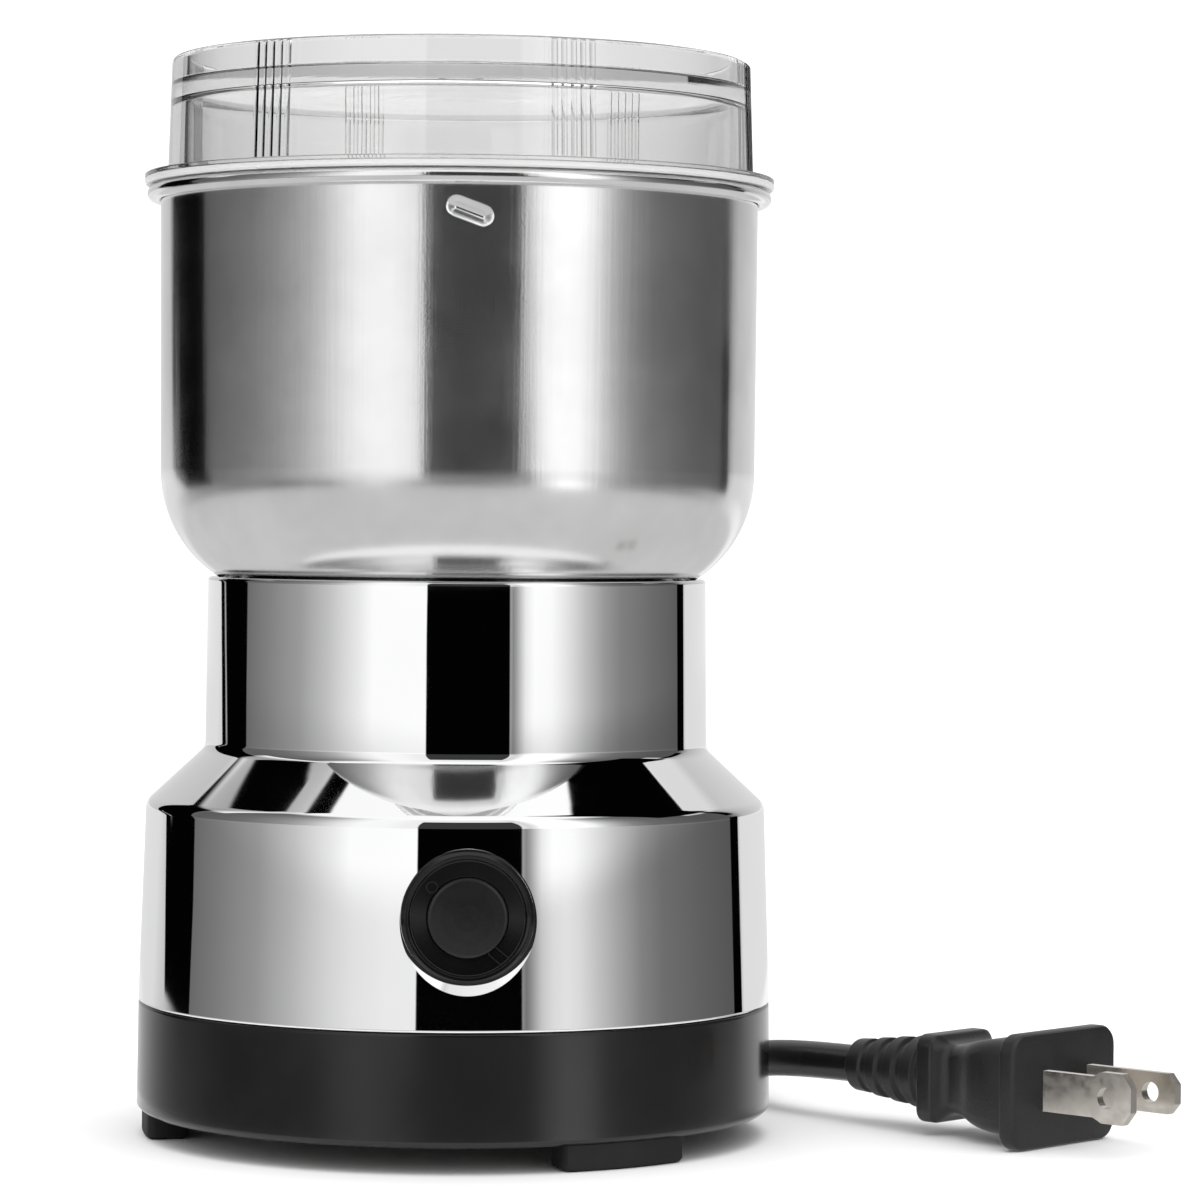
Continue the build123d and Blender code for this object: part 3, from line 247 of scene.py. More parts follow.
def plastic(name, color, rough, grain=0.0, grain_scale=3000.0, spread=0.25, **sockets):
    s = Shader(name, color, rough, 0.0, **sockets)
    broad = s.noise(70.0, 4.0)
    s.vary_roughness(broad, rough * (1 - spread), min(1.0, rough * (1 + spread)))
    s.vary_color(s.noise(140.0, 5.0), tuple(c * 0.88 for c in color), tuple(min(1, c * 1.14) for c in color))
    if grain:
        s.bump(s.noise(grain_scale, 3.0, 0.6), grain, 0.6)
    return s.mat


def copper_wire(name, round_axis):
    s = Shader(name, (0.60, 0.25, 0.10), 0.32, 1.0)
    s.bsdf.inputs["Coat Weight"].default_value = 0.6
    s.bsdf.inputs["Coat Roughness"].default_value = 0.18
    split = s.node("ShaderNodeSeparateXYZ")
    s.link(s.coords, split.inputs[0])
    wave = s.math("SINE", s.math("MULTIPLY", split.outputs[round_axis], 2 * math.pi / 0.00055))
    s.bump(wave, 0.00012, 0.8)
    s.vary_color(s.noise(300.0, 4.0), (0.46, 0.17, 0.06), (0.72, 0.33, 0.15))
    return s.mat


def laminated(name):
    s = Shader(name, (0.30, 0.31, 0.32), 0.38, 1.0)
    split = s.node("ShaderNodeSeparateXYZ")
    s.link(s.coords, split.inputs[0])
    wave = s.math("SINE", s.math("MULTIPLY", split.outputs[2], 2 * math.pi / 0.0007))
    s.bump(wave, 0.00006, 0.9)
    s.vary_color(s.noise(220.0, 5.0), (0.20, 0.19, 0.19), (0.40, 0.41, 0.43))
    s.vary_roughness(s.noise(500.0, 4.0), 0.28, 0.5)
    return s.mat


MAT = {
    "plated_shell": chrome(),
    "bowl_steel": bowl_steel(),
    "black_shell": plastic("satin_black_base", (0.0045, 0.0045, 0.0049), 0.16, 0.000002, 2600.0, 0.12, Specular_IOR_Level=0.5),
    "foot_rubber": plastic("foot_rubber", (0.0095, 0.0095, 0.0095), 0.60, 0.00002, 1800.0, Specular_IOR_Level=0.3),
    "zinc_steel": steel("zinc_plated_steel", (0.60, 0.59, 0.55), 0.3),
    "seal_rubber": plastic("seal_rubber", (0.045, 0.045, 0.05), 0.6, 0.00001, 2200.0),
    "stainless": steel("stainless_steel", (0.70, 0.70, 0.69), 0.2, True),
    "cast_alloy": steel("cast_alloy", (0.58, 0.59, 0.61), 0.5, False, 1500.0),
    "filled_nylon": plastic("filled_nylon", (0.035, 0.035, 0.04), 0.48, 0.00001, 2400.0),
    "bearing_bronze": steel("sintered_bronze", (0.50, 0.32, 0.17), 0.45, False, 2500.0),
    "lamination_steel": laminated("laminated_steel"),
    "copper_wire": copper_wire("enamelled_copper", 2),
    "ground_steel": steel("ground_steel", (0.64, 0.64, 0.65), 0.16, True),
    "commutator_copper": steel("commutator_copper", (0.70, 0.36, 0.20), 0.25, True),
    "dark_resin": plastic("dark_resin", (0.05, 0.028, 0.02), 0.4),
    "white_nylon": plastic("white_nylon", (0.72, 0.71, 0.66), 0.5),
    "fan_nylon": plastic("fan_nylon", (0.62, 0.62, 0.58), 0.5),
    "terminal_brass": steel("terminal_brass", (0.72, 0.54, 0.25), 0.26),
    "carbon": plastic("carbon_brush", (0.03, 0.03, 0.033), 0.5, 0.00001, 3500.0),
    "spring_steel": steel("spring_steel", (0.46, 0.46, 0.48), 0.3),
    "lead_insulation": plastic("lead_insulation", (0.02, 0.02, 0.022), 0.4),
}


def clear_lid():
    s = Shader("clear_lid", (0.97, 0.97, 0.97), 0.02, 0.0, Transmission_Weight=1.0, IOR=1.49)
    s.vary_roughness(s.noise(60.0, 3.0), 0.008, 0.03)
    s.vary_color(s.noise(50.0, 3.0), (0.955, 0.955, 0.955), (0.985, 0.985, 0.985))
    s.bump(s.noise(90.0, 2.0), 0.000010, 0.5)
    s.bump(s.noise(1.0, 3.0, 0.5, s.stretched(4.0, 520.0, 4.0, s.around_z())), 0.000022, 0.6)
    volume = s.node("ShaderNodeVolumeAbsorption")
    volume.inputs["Color"].default_value = (0.5, 0.5, 0.5, 1.0)
    volume.inputs["Density"].default_value = 9.0
    s.link(volume.outputs[0], s.out.inputs["Volume"])
    return s.mat


def clear_seal():
    s = Shader("clear_seal", (0.90, 0.90, 0.90), 0.25, 0.0, Transmission_Weight=0.4, IOR=1.42)
    s.vary_roughness(s.noise(50.0, 2.0), 0.22, 0.28)
    s.vary_color(s.noise(40.0, 2.0), (0.89, 0.89, 0.89), (0.92, 0.92, 0.92))
    return s.mat


MAT["clear_lid"] = clear_lid()
MAT["clear_seal"] = clear_seal()
MAT["bezel_satin"] = plastic("bezel_satin", (0.0035, 0.0035, 0.0038), 0.10, 0.0000015, 2500.0, 0.2, Specular_IOR_Level=0.4)
MAT["button_satin"] = plastic("button_satin", (0.0085, 0.0085, 0.009), 0.26, 0.000003, 3000.0, 0.15, Specular_IOR_Level=0.35)
MAT["cord_pvc"] = plastic("cord_pvc", (0.013, 0.013, 0.014), 0.33, 0.00001, 1200.0)
MAT["plug_pvc"] = plastic("plug_pvc", (0.014, 0.014, 0.015), 0.46, 0.00009, 2100.0, 0.2)
s = Shader("nickel_plate", (0.66, 0.62, 0.57), 0.22, 1.0)
s.vary_roughness(s.noise(500.0, 3.0), 0.17, 0.27)
s.vary_color(s.noise(60.0, 2.0), (0.62, 0.58, 0.53), (0.70, 0.665, 0.61))
s.bump(s.noise(900.0, 2.0), 0.000001, 0.4)
MAT["nickel"] = s.mat


# ------------------------------------------------------------------ mesh helpers
def pt(r, a):
    return (r * math.sin(math.radians(a)), -r * math.cos(math.radians(a)))


def rounded(points, arc_step=12.0, support=0.18):
    """A closed outline's points (x, y) or (x, y, radius): corners with a radius become arcs, and
    straight runs get a point near each end, so that smooth shading keeps them straight."""
    n = len(points)
    out = []
    for i in range(n):
        p = Vector(points[i][:2])
        radius = points[i][2] if len(points[i]) > 2 else 0.0
        a, b = Vector(points[i - 1][:2]), Vector(points[(i + 1) % n][:2])
        u, v = (a - p), (b - p)
        lu, lv = u.length, v.length
        u.normalize(), v.normalize()
        if radius <= 0:
            s = min(support, lu * 0.3, lv * 0.3)
            out += [p + u * s, p, p + v * s]
            continue
        half = u.angle(v) / 2
        cut = min(radius / math.tan(half), lu * 0.48, lv * 0.48)
        radius = cut * math.tan(half)
        centre = p + (u + v).normalized() * (radius / math.sin(half))
        start, end = p + u * cut, p + v * cut
        a0, a1 = (start - centre), (end - centre)
        sweep = math.atan2(a0.x * a1.y - a0.y * a1.x, a0.dot(a1))
        steps = max(3, math.ceil(abs(math.degrees(sweep)) / arc_step))
        s = min(support, max(0.0, lu - cut) * 0.3, max(0.0, lv - cut) * 0.3)
        out.append(start + u * s)
        for k in range(steps + 1):
            t = sweep * k / steps
            out.append(centre + Vector((a0.x * math.cos(t) - a0.y * math.sin(t), a0.x * math.sin(t) + a0.y * math.cos(t))))
        out.append(end + v * s)
    clean = []
    for p in out:
        if not clean or (p - clean[-1]).length > 1e-4:
            clean.append(p)
    if (clean[0] - clean[-1]).length < 1e-4:
        clean.pop()
    return clean


def divided(points, longest):
    out = []
    for i, p in enumerate(points):
        q = points[(i + 1) % len(points)]
        out.append(p)
        k = int((q - p).length // longest)
        for j in range(1, k + 1):
            out.append(p + (q - p) * (j / (k + 1)))
    return out


def angles(count, fine=()):
    """Angles of a full turn in degrees, even ones plus extra ones where fine asks: (centre, half width, step)."""
    base = [i * 360.0 / count for i in range(count)]
    for centre, half, step in fine:
        lo, hi = centre - half, centre + half
        base = [a for a in base if not -half < ((a - centre + 180) % 360 - 180) < half]
        k = round((hi - lo) / step)
        base += [(lo + (hi - lo) * i / k) % 360 for i in range(k + 1)]
    return sorted(set(round(a % 360, 5) for a in base))


def link_mesh(name, mesh, smooth=35.0):
    obj = bpy.data.objects.new(name, mesh)
    scene.collection.objects.link(obj)
    if smooth is not None:
        mesh.polygons.foreach_set("use_smooth", [True] * len(mesh.polygons))
        sharpen(mesh, smooth)
    return obj


def put(mesh, place):
    """Moves a mesh by a matrix and keeps its faces outwards when the matrix mirrors it."""
    mesh.transform(place)
    if place.to_3x3().determinant() < 0:
        mesh.flip_normals()


def sharpen(mesh, degrees):
    bm = bmesh.new()
    bm.from_mesh(mesh)
    limit = math.radians(degrees)
    for e in bm.edges:
        e.smooth = len(e.link_faces) == 2 and e.calc_face_angle(0.0) < limit
    bm.to_mesh(mesh)
    bm.free()


def lathe(name, outline, turns, place=None, shift=None, smooth=35.0):
    """Turns a closed outline (mm, distance from the axis and height) about Z. turns holds the angles,
    measured from the front towards +X. shift(r, z, angle) moves a point outwards by what it returns."""
    verts, faces = [], []
    n, m = len(outline), len(turns)
    axis = {}
    for j, a in enumerate(turns):
        sa, ca = math.sin(math.radians(a)), math.cos(math.radians(a))
        for i, p in enumerate(outline):
            r, z = max(0.0, p.x), p.y
            if shift:
                r += shift(r, z, a)
            verts.append((r * sa * MM, -r * ca * MM, z * MM))
    for j in range(m):
        k = (j + 1) % m
        for i in range(n):
            l = (i + 1) % n
            faces.append((j * n + i, k * n + i, k * n + l, j * n + l))
    mesh = bpy.data.meshes.new(name)
    mesh.from_pydata(verts, [], faces)
    bm = bmesh.new()
    bm.from_mesh(mesh)
    bmesh.ops.remove_doubles(bm, verts=bm.verts, dist=1e-7)
    bmesh.ops.dissolve_degenerate(bm, dist=1e-8, edges=bm.edges)
    bmesh.ops.delete(bm, geom=[e for e in bm.edges if not e.link_faces], context="EDGES")
    bmesh.ops.recalc_face_normals(bm, faces=bm.faces)
    if bm.calc_volume(signed=True) < 0:
        bmesh.ops.reverse_faces(bm, faces=bm.faces)
    bm.to_mesh(mesh)
    bm.free()
    if place is not None:
        put(mesh, place)
    return link_mesh(name, mesh, smooth)


def switch_frame():
    """From (distance from the switch's axis, height) about Z to the switch on the front of the shell:
    local height becomes the distance outwards from the shaft axis."""
    s, c = math.sin(math.radians(SWITCH_A)), math.cos(math.radians(SWITCH_A))
    outward = Vector((s, -c, 0))
    across = Vector((c, s, 0))
    up = Vector((0, 0, 1))
    # local -Y (angle 0) is up, local +X is to the viewer's right
    return Matrix((
        (across.x, -up.x, outward.x, 0),
        (across.y, -up.y, outward.y, 0),
        (across.z, -up.z, outward.z, SWITCH_Z * MM),
        (0, 0, 0, 1),
    ))


def prism(name, outline, low, high, place=None):
    """A closed prism over an outline of (x, y) in mm, from low to high."""
    mesh = bpy.data.meshes.new(name)
    n = len(outline)
    verts = [(p[0] * MM, p[1] * MM, low * MM) for p in outline] + [(p[0] * MM, p[1] * MM, high * MM) for p in outline]
    faces = [tuple(reversed(range(n))), tuple(range(n, 2 * n))]
    faces += [(i, (i + 1) % n, n + (i + 1) % n, n + i) for i in range(n)]
    mesh.from_pydata(verts, [], faces)
    bm = bmesh.new()
    bm.from_mesh(mesh)
    bmesh.ops.recalc_face_normals(bm, faces=bm.faces)
    bm.to_mesh(mesh)
    bm.free()
    if place is not None:
        put(mesh, place)
    obj = bpy.data.objects.new(name, mesh)
    scene.collection.objects.link(obj)
    return obj


def ring_of(r, n=48, x=0.0, y=0.0):
    return [(x + r * math.cos(2 * math.pi * i / n), y + r * math.sin(2 * math.pi * i / n)) for i in range(n)]


def cut(obj, tools, operation="DIFFERENCE"):
    """Cuts the tools out of obj (or joins them) and removes them."""
    for tool in tools:
        mod = obj.modifiers.new("cut", "BOOLEAN")
        mod.operation, mod.solver, mod.object = operation, "EXACT", tool
    bpy.context.view_layer.update()
    mesh = bpy.data.meshes.new_from_object(obj.evaluated_get(bpy.context.evaluated_depsgraph_get()))
    obj.modifiers.clear()
    obj.data = mesh
    for tool in tools:
        bpy.data.objects.remove(tool)
    return obj


def finish_piece(obj, body, material, *nodes, slot=None):
    obj.data.materials.clear()
    obj.data.materials.append(MAT[material])
    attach(obj, body)
    if nodes:
        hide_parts(*nodes)
    return obj


# ------------------------------------------------------------------ free cord
RISE = [
    (0, 75.0, 12.3), (0, 88.5, 12.3), (-3.8, 103.0, 9.4), (-13.5, 116.5, 5.2), (-20.5, 129.5, 3.8),
]
tail_end = PLUG_F - PLUG_D * 41.5
run_start = PLUG_F - PLUG_D * 56.0
AWAY = [
    (50.3, 121.5, 8.0), (50.6, 97.0, 4.3), (49.3, 77.0, 3.1), (48.2, 57.0, 3.1), (48.6, 39.0, 6.6),
    tuple(run_start), tuple(tail_end),
]


def step(x, low, high):
    t = max(0.0, min(1.0, (x - low) / (high - low)))
    return t * t * (3 - 2 * t)


turns = []
per_turn = 20
shrink = 0.75 + 0.25 * math.cos(2 * math.pi / per_turn)
for i in range(int(3.5 * per_turn) + 1):
    t = i * 360.0 / per_turn
    phase, lap = t % 360.0, int(t // 360)
    r, z = ((36.0, 3.55), (30.0, 3.55), (30.0, 9.55), (36.0, 9.55))[min(lap, 3)]
    if lap == 0:
        r = 36.0 - 6.0 * step(phase, 290.0, 352.0)
    elif lap == 1:
        z = 3.55 + 6.0 * step(phase, 225.0, 300.0)
    elif lap == 2:
        r = 30.0 + 6.0 * step(phase, 170.0, 235.0)
    a = math.radians(180.0 - t)
    turns.append((COIL_X + r / shrink * math.cos(a), COIL_Y + r / shrink * math.sin(a), z))
line = RISE + turns + AWAY
curve = bpy.data.curves.new("mains_cord", "CURVE")
curve.dimensions = "3D"
spline = curve.splines.new("NURBS")
spline.points.add(len(line) - 1)
for p, q in zip(spline.points, line):
    p.co = (q[0] * MM, q[1] * MM, q[2] * MM, 1.0)
spline.order_u = 3
spline.use_endpoint_u = True
spline.resolution_u = 6
curve.bevel_depth = 0.003
curve.bevel_resolution = 6
curve.use_fill_caps = True
cord = bpy.data.objects.new("mains_cord", curve)
scene.collection.objects.link(cord)
finish_piece(cord, "housing", "cord_pvc", "cord_lead_in", "cord_coil", "cord_lead_out", slot="cord_pvc")

# ------------------------------------------------------------------ base cover
outline = rounded([
    (0, 4.0), (49.3, 4.0, 0.5), (50.0, 4.7, 0.5), (49.85, 21.0, 0.35), (47.45, 21.0), (47.35, 24.0), (45.7, 24.0),
    (45.7, 19.6), (47.5, 17.8), (47.5, 6.4, 0.6), (0, 6.4),
])
base = lathe("base_cover_visual", outline, angles(384), smooth=30.0)
tools = []
for k in range(12):
    a = math.radians(30.0 * k)
    spine = [(12.5 + 1.2, 0), (24.5 - 1.2, 0)]
    loop = [(spine[1][0] + 1.2 * math.cos(t), 1.2 * math.sin(t)) for t in [math.radians(-90 + 15 * i) for i in range(13)]]
    loop += [(spine[0][0] + 1.2 * math.cos(t), 1.2 * math.sin(t)) for t in [math.radians(90 + 15 * i) for i in range(13)]]
    tools.append(prism("slot_tool", loop, 3.0, 7.4, Matrix.Rotation(a, 4, "Z")))
cut(base, [lathe("boss_tool", rounded([(0, 5.0), (5.0, 5.0), (5.0, 14.0, 0.2), (0, 14.0)]), angles(48), Matrix.Translation((pt(39.5, a)[0] * MM, pt(39.5, a)[1] * MM, 0)))
           for a in SCREWS], "UNION")
cut(base, [lathe("post_tool", rounded([(0, 5.0), (3.2, 5.0), (3.2, 12.3, 0.15), (0, 12.3)]), angles(40), Matrix.Translation((x * MM, 37 * MM, 0)))
           for x in (9, -9)], "UNION")
for a in SCREWS:
    x, y = pt(39.5, a)
    tools.append(prism("hole_tool", ring_of(3.4, 40, x, y), 3.0, 9.0))
    tools.append(prism("hole_tool", ring_of(1.8, 32, x, y), 8.0, 15.0))
for x in (9, -9):
    tools.append(prism("hole_tool", ring_of(1.1, 24, x, 37), 7.5, 13.0))
tools.append(prism("outlet_tool", ring_of(5.0, 48), 44.0, 53.0, Matrix(((1, 0, 0, 0), (0, 0, 1, 0), (0, 1, 0, 12.3 * MM), (0, 0, 0, 1)))))
cut(base, tools)
bm = bmesh.new()
bm.from_mesh(base.data)
bmesh.ops.remove_doubles(bm, verts=bm.verts, dist=0.004 * MM)
bmesh.ops.dissolve_degenerate(bm, edges=bm.edges, dist=0.002 * MM)
bmesh.ops.delete(bm, geom=[e for e in bm.edges if not e.link_faces], context="EDGES")
bmesh.ops.holes_fill(bm, edges=[e for e in bm.edges if e.is_boundary], sides=0)
bm.to_mesh(base.data)
bm.free()
sharpen(base.data, 30.0)
finish_piece(base, "housing", "black_shell", "base_cover", slot="black_shell")

# ------------------------------------------------------------------ feet
for i, a in enumerate(FEET):
    cross = rounded([(42.6, 0.0, 0.9), (49.2, 0.0, 0.9), (49.2, 4.1), (42.6, 4.1)], 15.0)
    steps, verts, faces = 44, [], []
    n = len(cross)
    for j in range(steps + 1):
        t = -FOOT_HALF + 2 * FOOT_HALF * j / steps
        # ends pulled in, for rounded corners in plan
        edge = min(1.0, (FOOT_HALF - abs(t)) / 1.3)
        inset = 0.9 * (1 - math.sqrt(max(0.0, 1 - (1 - edge) ** 2)))
        for p in cross:
            f = (p.x - 45.9) / 3.3
            x, y = pt(45.9 + f * (3.3 - inset), a + t)
            lift = 0.4 * (1 - edge) * (1 - min(1.0, p.y / 2.0))
            verts.append((x * MM, y * MM, (p.y + lift) * MM))
    for j in range(steps):
        for k in range(n):
            l = (k + 1) % n
            faces.append((j * n + k, (j + 1) * n + k, (j + 1) * n + l, j * n + l))
    faces += [tuple(range(n)), tuple(reversed(range(steps * n, (steps + 1) * n)))]
    mesh = bpy.data.meshes.new("foot")
    mesh.from_pydata(verts, [], faces)
    bm = bmesh.new()
    bm.from_mesh(mesh)
    bmesh.ops.recalc_face_normals(bm, faces=bm.faces)
    bm.to_mesh(mesh)
    bm.free()
    foot = link_mesh("foot_%d" % (i + 1), mesh, 40.0)
    finish_piece(foot, "housing", "foot_rubber", *(["rubber_feet"] if i == 0 else []), slot="foot_rubber")

# ------------------------------------------------------------------ plated shell
SHELL_R0, SHELL_R1, SHELL_Z0, SHELL_Z1 = 49.9, 48.8, 21.0, 52.35
outline = divided(rounded([
    (47.9, 21.0), (49.9, 21.0, 0.55), (48.8, 52.35, 2.5), (39.6, 60.87, 2.2), (39.27, 87.7, 0.9), (38.1, 87.7, 0.3), (38.1, 84.0),
    (7.2, 84.0), (7.2, 81.5), (37.2, 81.5), (37.6, 61.3), (46.8, 52.8),
], 5.0), 2.4)
shell = lathe("motor_housing_visual", outline, angles(480), smooth=30.0)
S = switch_frame()
dish = lathe("dish_tool", [Vector(p) for p in ((0, 48.0), (9.93, 48.0), (9.95, 48.0001), (9.99, 48.012), (10.05, 48.045), (13.45, 50.045), (13.46, 52.0), (0, 52.0))],
             angles(192), None, smooth=None)
for v in dish.data.vertices:
    # the recess is deeper above and below than at the sides, where the wall falls away from it
    r = math.hypot(v.co.x, v.co.y)
    if 9.94 * MM < r and v.co.z < 51.0 * MM:
        u, w = v.co.x / r, v.co.y / r
        v.co.z += (w * w * (0.785 + 0.035 * w) + (1 - w * w) * (0.14 - 0.11 * u)) * MM
put(dish.data, S)
bore = lathe("bore_tool", [Vector(p) for p in ((0, 44.0), (8.45, 44.0), (8.45, 49.0), (0, 49.0))], angles(96), S, smooth=None)
cut(shell, [dish, bore])


def shell_normals(mesh):
    """Exact normals for the shell's wall, so that its mirror finish shows no facets."""
    slope = math.atan2(SHELL_R0 - SHELL_R1, SHELL_Z1 - SHELL_Z0)
    normals = [None] * len(mesh.loops)
    corner = [Vector(c.vector) for c in mesh.corner_normals]
    for poly in mesh.polygons:
        wall = True
        for v in poly.vertices:
            p = mesh.vertices[v].co
            r, z = math.hypot(p.x, p.y) / MM, p.z / MM
            want = SHELL_R0 + (SHELL_R1 - SHELL_R0) * (z - SHELL_Z0) / (SHELL_Z1 - SHELL_Z0)
            if not (21.5 < z < 51.25 and abs(r - want) < 0.03):
                wall = False
        if wall:
            d = Vector((poly.center.x, poly.center.y, 0)).normalized()
            wall = poly.normal.dot(d) > 0.99
        for li in poly.loop_indices:
            p = mesh.vertices[mesh.loops[li].vertex_index].co
            if wall:
                d = Vector((p.x, p.y, 0)).normalized()
                normals[li] = (d * math.cos(slope) + Vector((0, 0, 1)) * math.sin(slope)).normalized()
            else:
                normals[li] = corner[li]
    mesh.normals_split_custom_set([tuple(n) for n in normals])


sharpen(shell.data, 28.0)
shell_normals(shell.data)
finish_piece(shell, "housing", "plated_shell", "motor_housing", slot="plated_shell")


# ------------------------------------------------------------------ bowl
def slot_distance(dx, dz):
    """Distance, in mm, from a dent's middle line."""
    t = math.radians(DENT_TILT)
    u, v = dx * math.cos(t) - dz * math.sin(t), dx * math.sin(t) + dz * math.cos(t)
    u = max(0.0, abs(u) - DENT_LEN / 2)
    return math.hypot(u, v)


def dent(r, z, a):
    if abs(z - DENT_Z) > 4.2 or r < 44:
        return 0.0
    for c in DENTS:
        d = (a - c + 180) % 360 - 180
        if abs(d) < 7:
            s = slot_distance(math.radians(d) * 47.0, z - DENT_Z)
            if s < 1.8:
                k = min(1.0, s / 1.8)
                return -1.0 * 0.5 * (1 + math.cos(math.pi * k ** 0.9))
    return 0.0


curl = []
cx, cz, cr = 48.0, 147.75, 1.2
for i in range(0, 27):
    phi = math.radians(-122 + i * (122 + 152) / 26.0)
    curl.append(Vector((cx + cr * math.cos(phi), cz + cr * math.sin(phi))))
outer = [Vector((7.0, 84.55)), Vector((15, 84.55)), Vector((26.9, 84.55))]
for i in range(0, 25):
    phi = math.radians(-90 + 90 * i / 24.0)
    outer.append(Vector((27.1 + 19.75 * math.cos(phi), 104.3 + 19.75 * math.sin(phi))))
wall_z = [104.6, 108, 114, 120, 126, 132, 136.5] + [138.2 + 0.12 * i for i in range(72)] + [146.95, 147.15, 147.3]
outer += [Vector((46.85 + 0.23 * (z - 104.3) / 43.45, z)) for z in wall_z]
groove = [Vector((47.20, 147.36)), Vector((47.32, 147.2)), Vector((47.33, 146.9))]
inner = [Vector((46.53, 147.9)), Vector((46.53, 147.2))]
inner += [Vector((46.30 + 0.23 * (z - 104.3) / 43.45, z)) for z in sorted((z for z in wall_z if z < 147.0), reverse=True)]
for i in range(24, -1, -1):
    phi = math.radians(-90 + 90 * i / 24.0)
    inner.append(Vector((27.1 + 19.2 * math.cos(phi), 104.3 + 19.2 * math.sin(phi))))
inner += [Vector((26.9, 85.1)), Vector((15, 85.1)), Vector((7.0, 85.1))]
bowl = lathe("bowl_visual", outer + groove + curl + inner, angles(300, [(c, 6.0, 0.12) for c in DENTS]), shift=dent, smooth=40.0)
finish_piece(bowl, "housing", "bowl_steel", "bowl", slot="bowl_steel")


# ------------------------------------------------------------------ lid
def rib(r, z, a):
    if not (r > 45.35 and 150.9 < z < 168.7):
        return 0.0
    fade = min(1.0, (z - 150.9) / 0.25) * min(1.0, (168.7 - z) / 0.3)
    for c in RIBS:
        d = (a - c + 180) % 360 - 180
        if abs(d) < 6.5:
            k = min(RIB_COUNT - 1, max(0, round(d / RIB_PITCH + (RIB_COUNT - 1) / 2)))
            x = abs(d - (k - (RIB_COUNT - 1) / 2) * RIB_PITCH) * 0.795
            return 0.3 * fade * math.sqrt(max(0.0, 1 - (x / 0.45) ** 2))
    return 0.0


outline = rounded([
    (0, 162.2), (42.9, 162.2, 1.0), (43.0, 137.0, 0.4), (45.1, 137.0, 0.3), (45.1, 150.1, 0.15), (49.6, 150.1, 0.12), (49.6, 150.8, 0.2),
    (46.0, 150.8, 0.25), (45.4, 168.9, 0.6), (42.7, 168.9, 0.6), (42.8, 164.6, 0.5), (0, 164.6),
], 15.0, 0.12)
z_extra = []
for p in outline:
    z_extra.append(p)
full = []
for i, p in enumerate(z_extra):
    q = z_extra[(i + 1) % len(z_extra)]
    full.append(p)
    if p.x > 45.3 and q.x > 45.3 and abs(q.y - p.y) > 10:
        for t in (0.0, 0.015, 0.03, 0.1, 0.3, 0.5, 0.7, 0.9, 0.96, 0.975, 0.99):
            if t > 0:
                full.append(p + (q - p) * t)
lid = lathe("lid_visual", full, angles(300, [(c, 5.4, 0.09) for c in RIBS]), shift=rib, smooth=40.0)
tools = []
for c in DENTS:
    loop = []
    for i in range(13):
        loop.append(pt(46.15, c - 5 + 10 * i / 12.0))
    for i in range(13):
        loop.append(pt(44.0, c + 5.4 - 10.8 * i / 12.0))
    tools.append(prism("lug_tool", loop, 137.8, 139.8))
tools.append(lathe("gate_tool", rounded([(1.9, 164.3), (2.4, 164.3), (2.4, 164.9, 0.12), (1.9, 164.9, 0.12)]), angles(64)))
cut(lid, tools, "UNION")
sharpen(lid.data, 35.0)
finish_piece(lid, "lid", "clear_lid", "lid", slot="clear_lid")

seal = lathe("lid_seal_visual", rounded([(45.35, 149.05, 0.15), (49.3, 149.05, 0.2), (49.55, 149.3, 0.15), (49.55, 150.05, 0.12), (45.35, 150.05, 0.12)]), angles(384), smooth=40.0)
finish_piece(seal, "seal_ring", "clear_seal", "lid_seal", slot="clear_seal")

# ------------------------------------------------------------------ push switch
bezel = lathe("switch_bezel_visual", rounded([
    (6.08, 38.5), (8.35, 38.5), (8.35, 48.1), (9.9, 48.1, 0.1), (9.9, 48.95, 0.35), (9.3, 49.4, 0.2), (8.8, 49.3, 0.15), (8.6, 48.65, 0.3), (6.08, 48.55, 0.08),
], 8.0, 0.08), angles(160), S, smooth=40.0)
marks = []
ang = math.radians(-40)
cxm, cym = 4.7, -5.7


def tab_loop(half, radius):
    loop = []
    for sgn, start in ((1, -90), (-1, 90)):
        for i in range(13):
            t = math.radians(start + 15 * i)
            loop.append((sgn * half + radius * math.cos(t), radius * math.sin(t)))
    return [(cxm + x * math.cos(ang) - y * math.sin(ang), -(cym + x * math.sin(ang) + y * math.cos(ang))) for x, y in loop]


tab = prism("tab_tool", tab_loop(1.05, 0.85), 48.4, 48.9, S)
cut(tab, [prism("tab_inner_tool", tab_loop(1.05, 0.66), 48.3, 49.1, S)])
marks.append(tab)
ring = lathe("ring_tool", rounded([(0.66, 48.4), (0.95, 48.4), (0.95, 49.0, 0.12), (0.66, 49.0, 0.12)], 20, 0.03), angles(40),
             S @ Matrix.Translation((-5.3 * MM, -4.6 * MM, 0)))
marks.append(ring)
cut(bezel, marks, "UNION")
sharpen(bezel.data, 35.0)
finish_piece(bezel, "housing", "bezel_satin", "switch_bezel", slot="switch_plastic")

button = lathe("push_button_visual", rounded([
    (0, 34.0), (1.65, 34.0), (1.65, 47.4), (3.7, 47.4), (3.7, 43.0), (6.0, 43.0), (6.0, 48.9, 0.15), (5.85, 49.15, 0.12), (5.5, 49.3, 0.15), (4.0, 49.5, 0.5),
    (2.0, 49.66, 0.5), (0, 49.7),
], 8.0, 0.06), angles(128), S, smooth=40.0)
finish_piece(button, "button", "button_satin", "push_button", slot="switch_plastic")

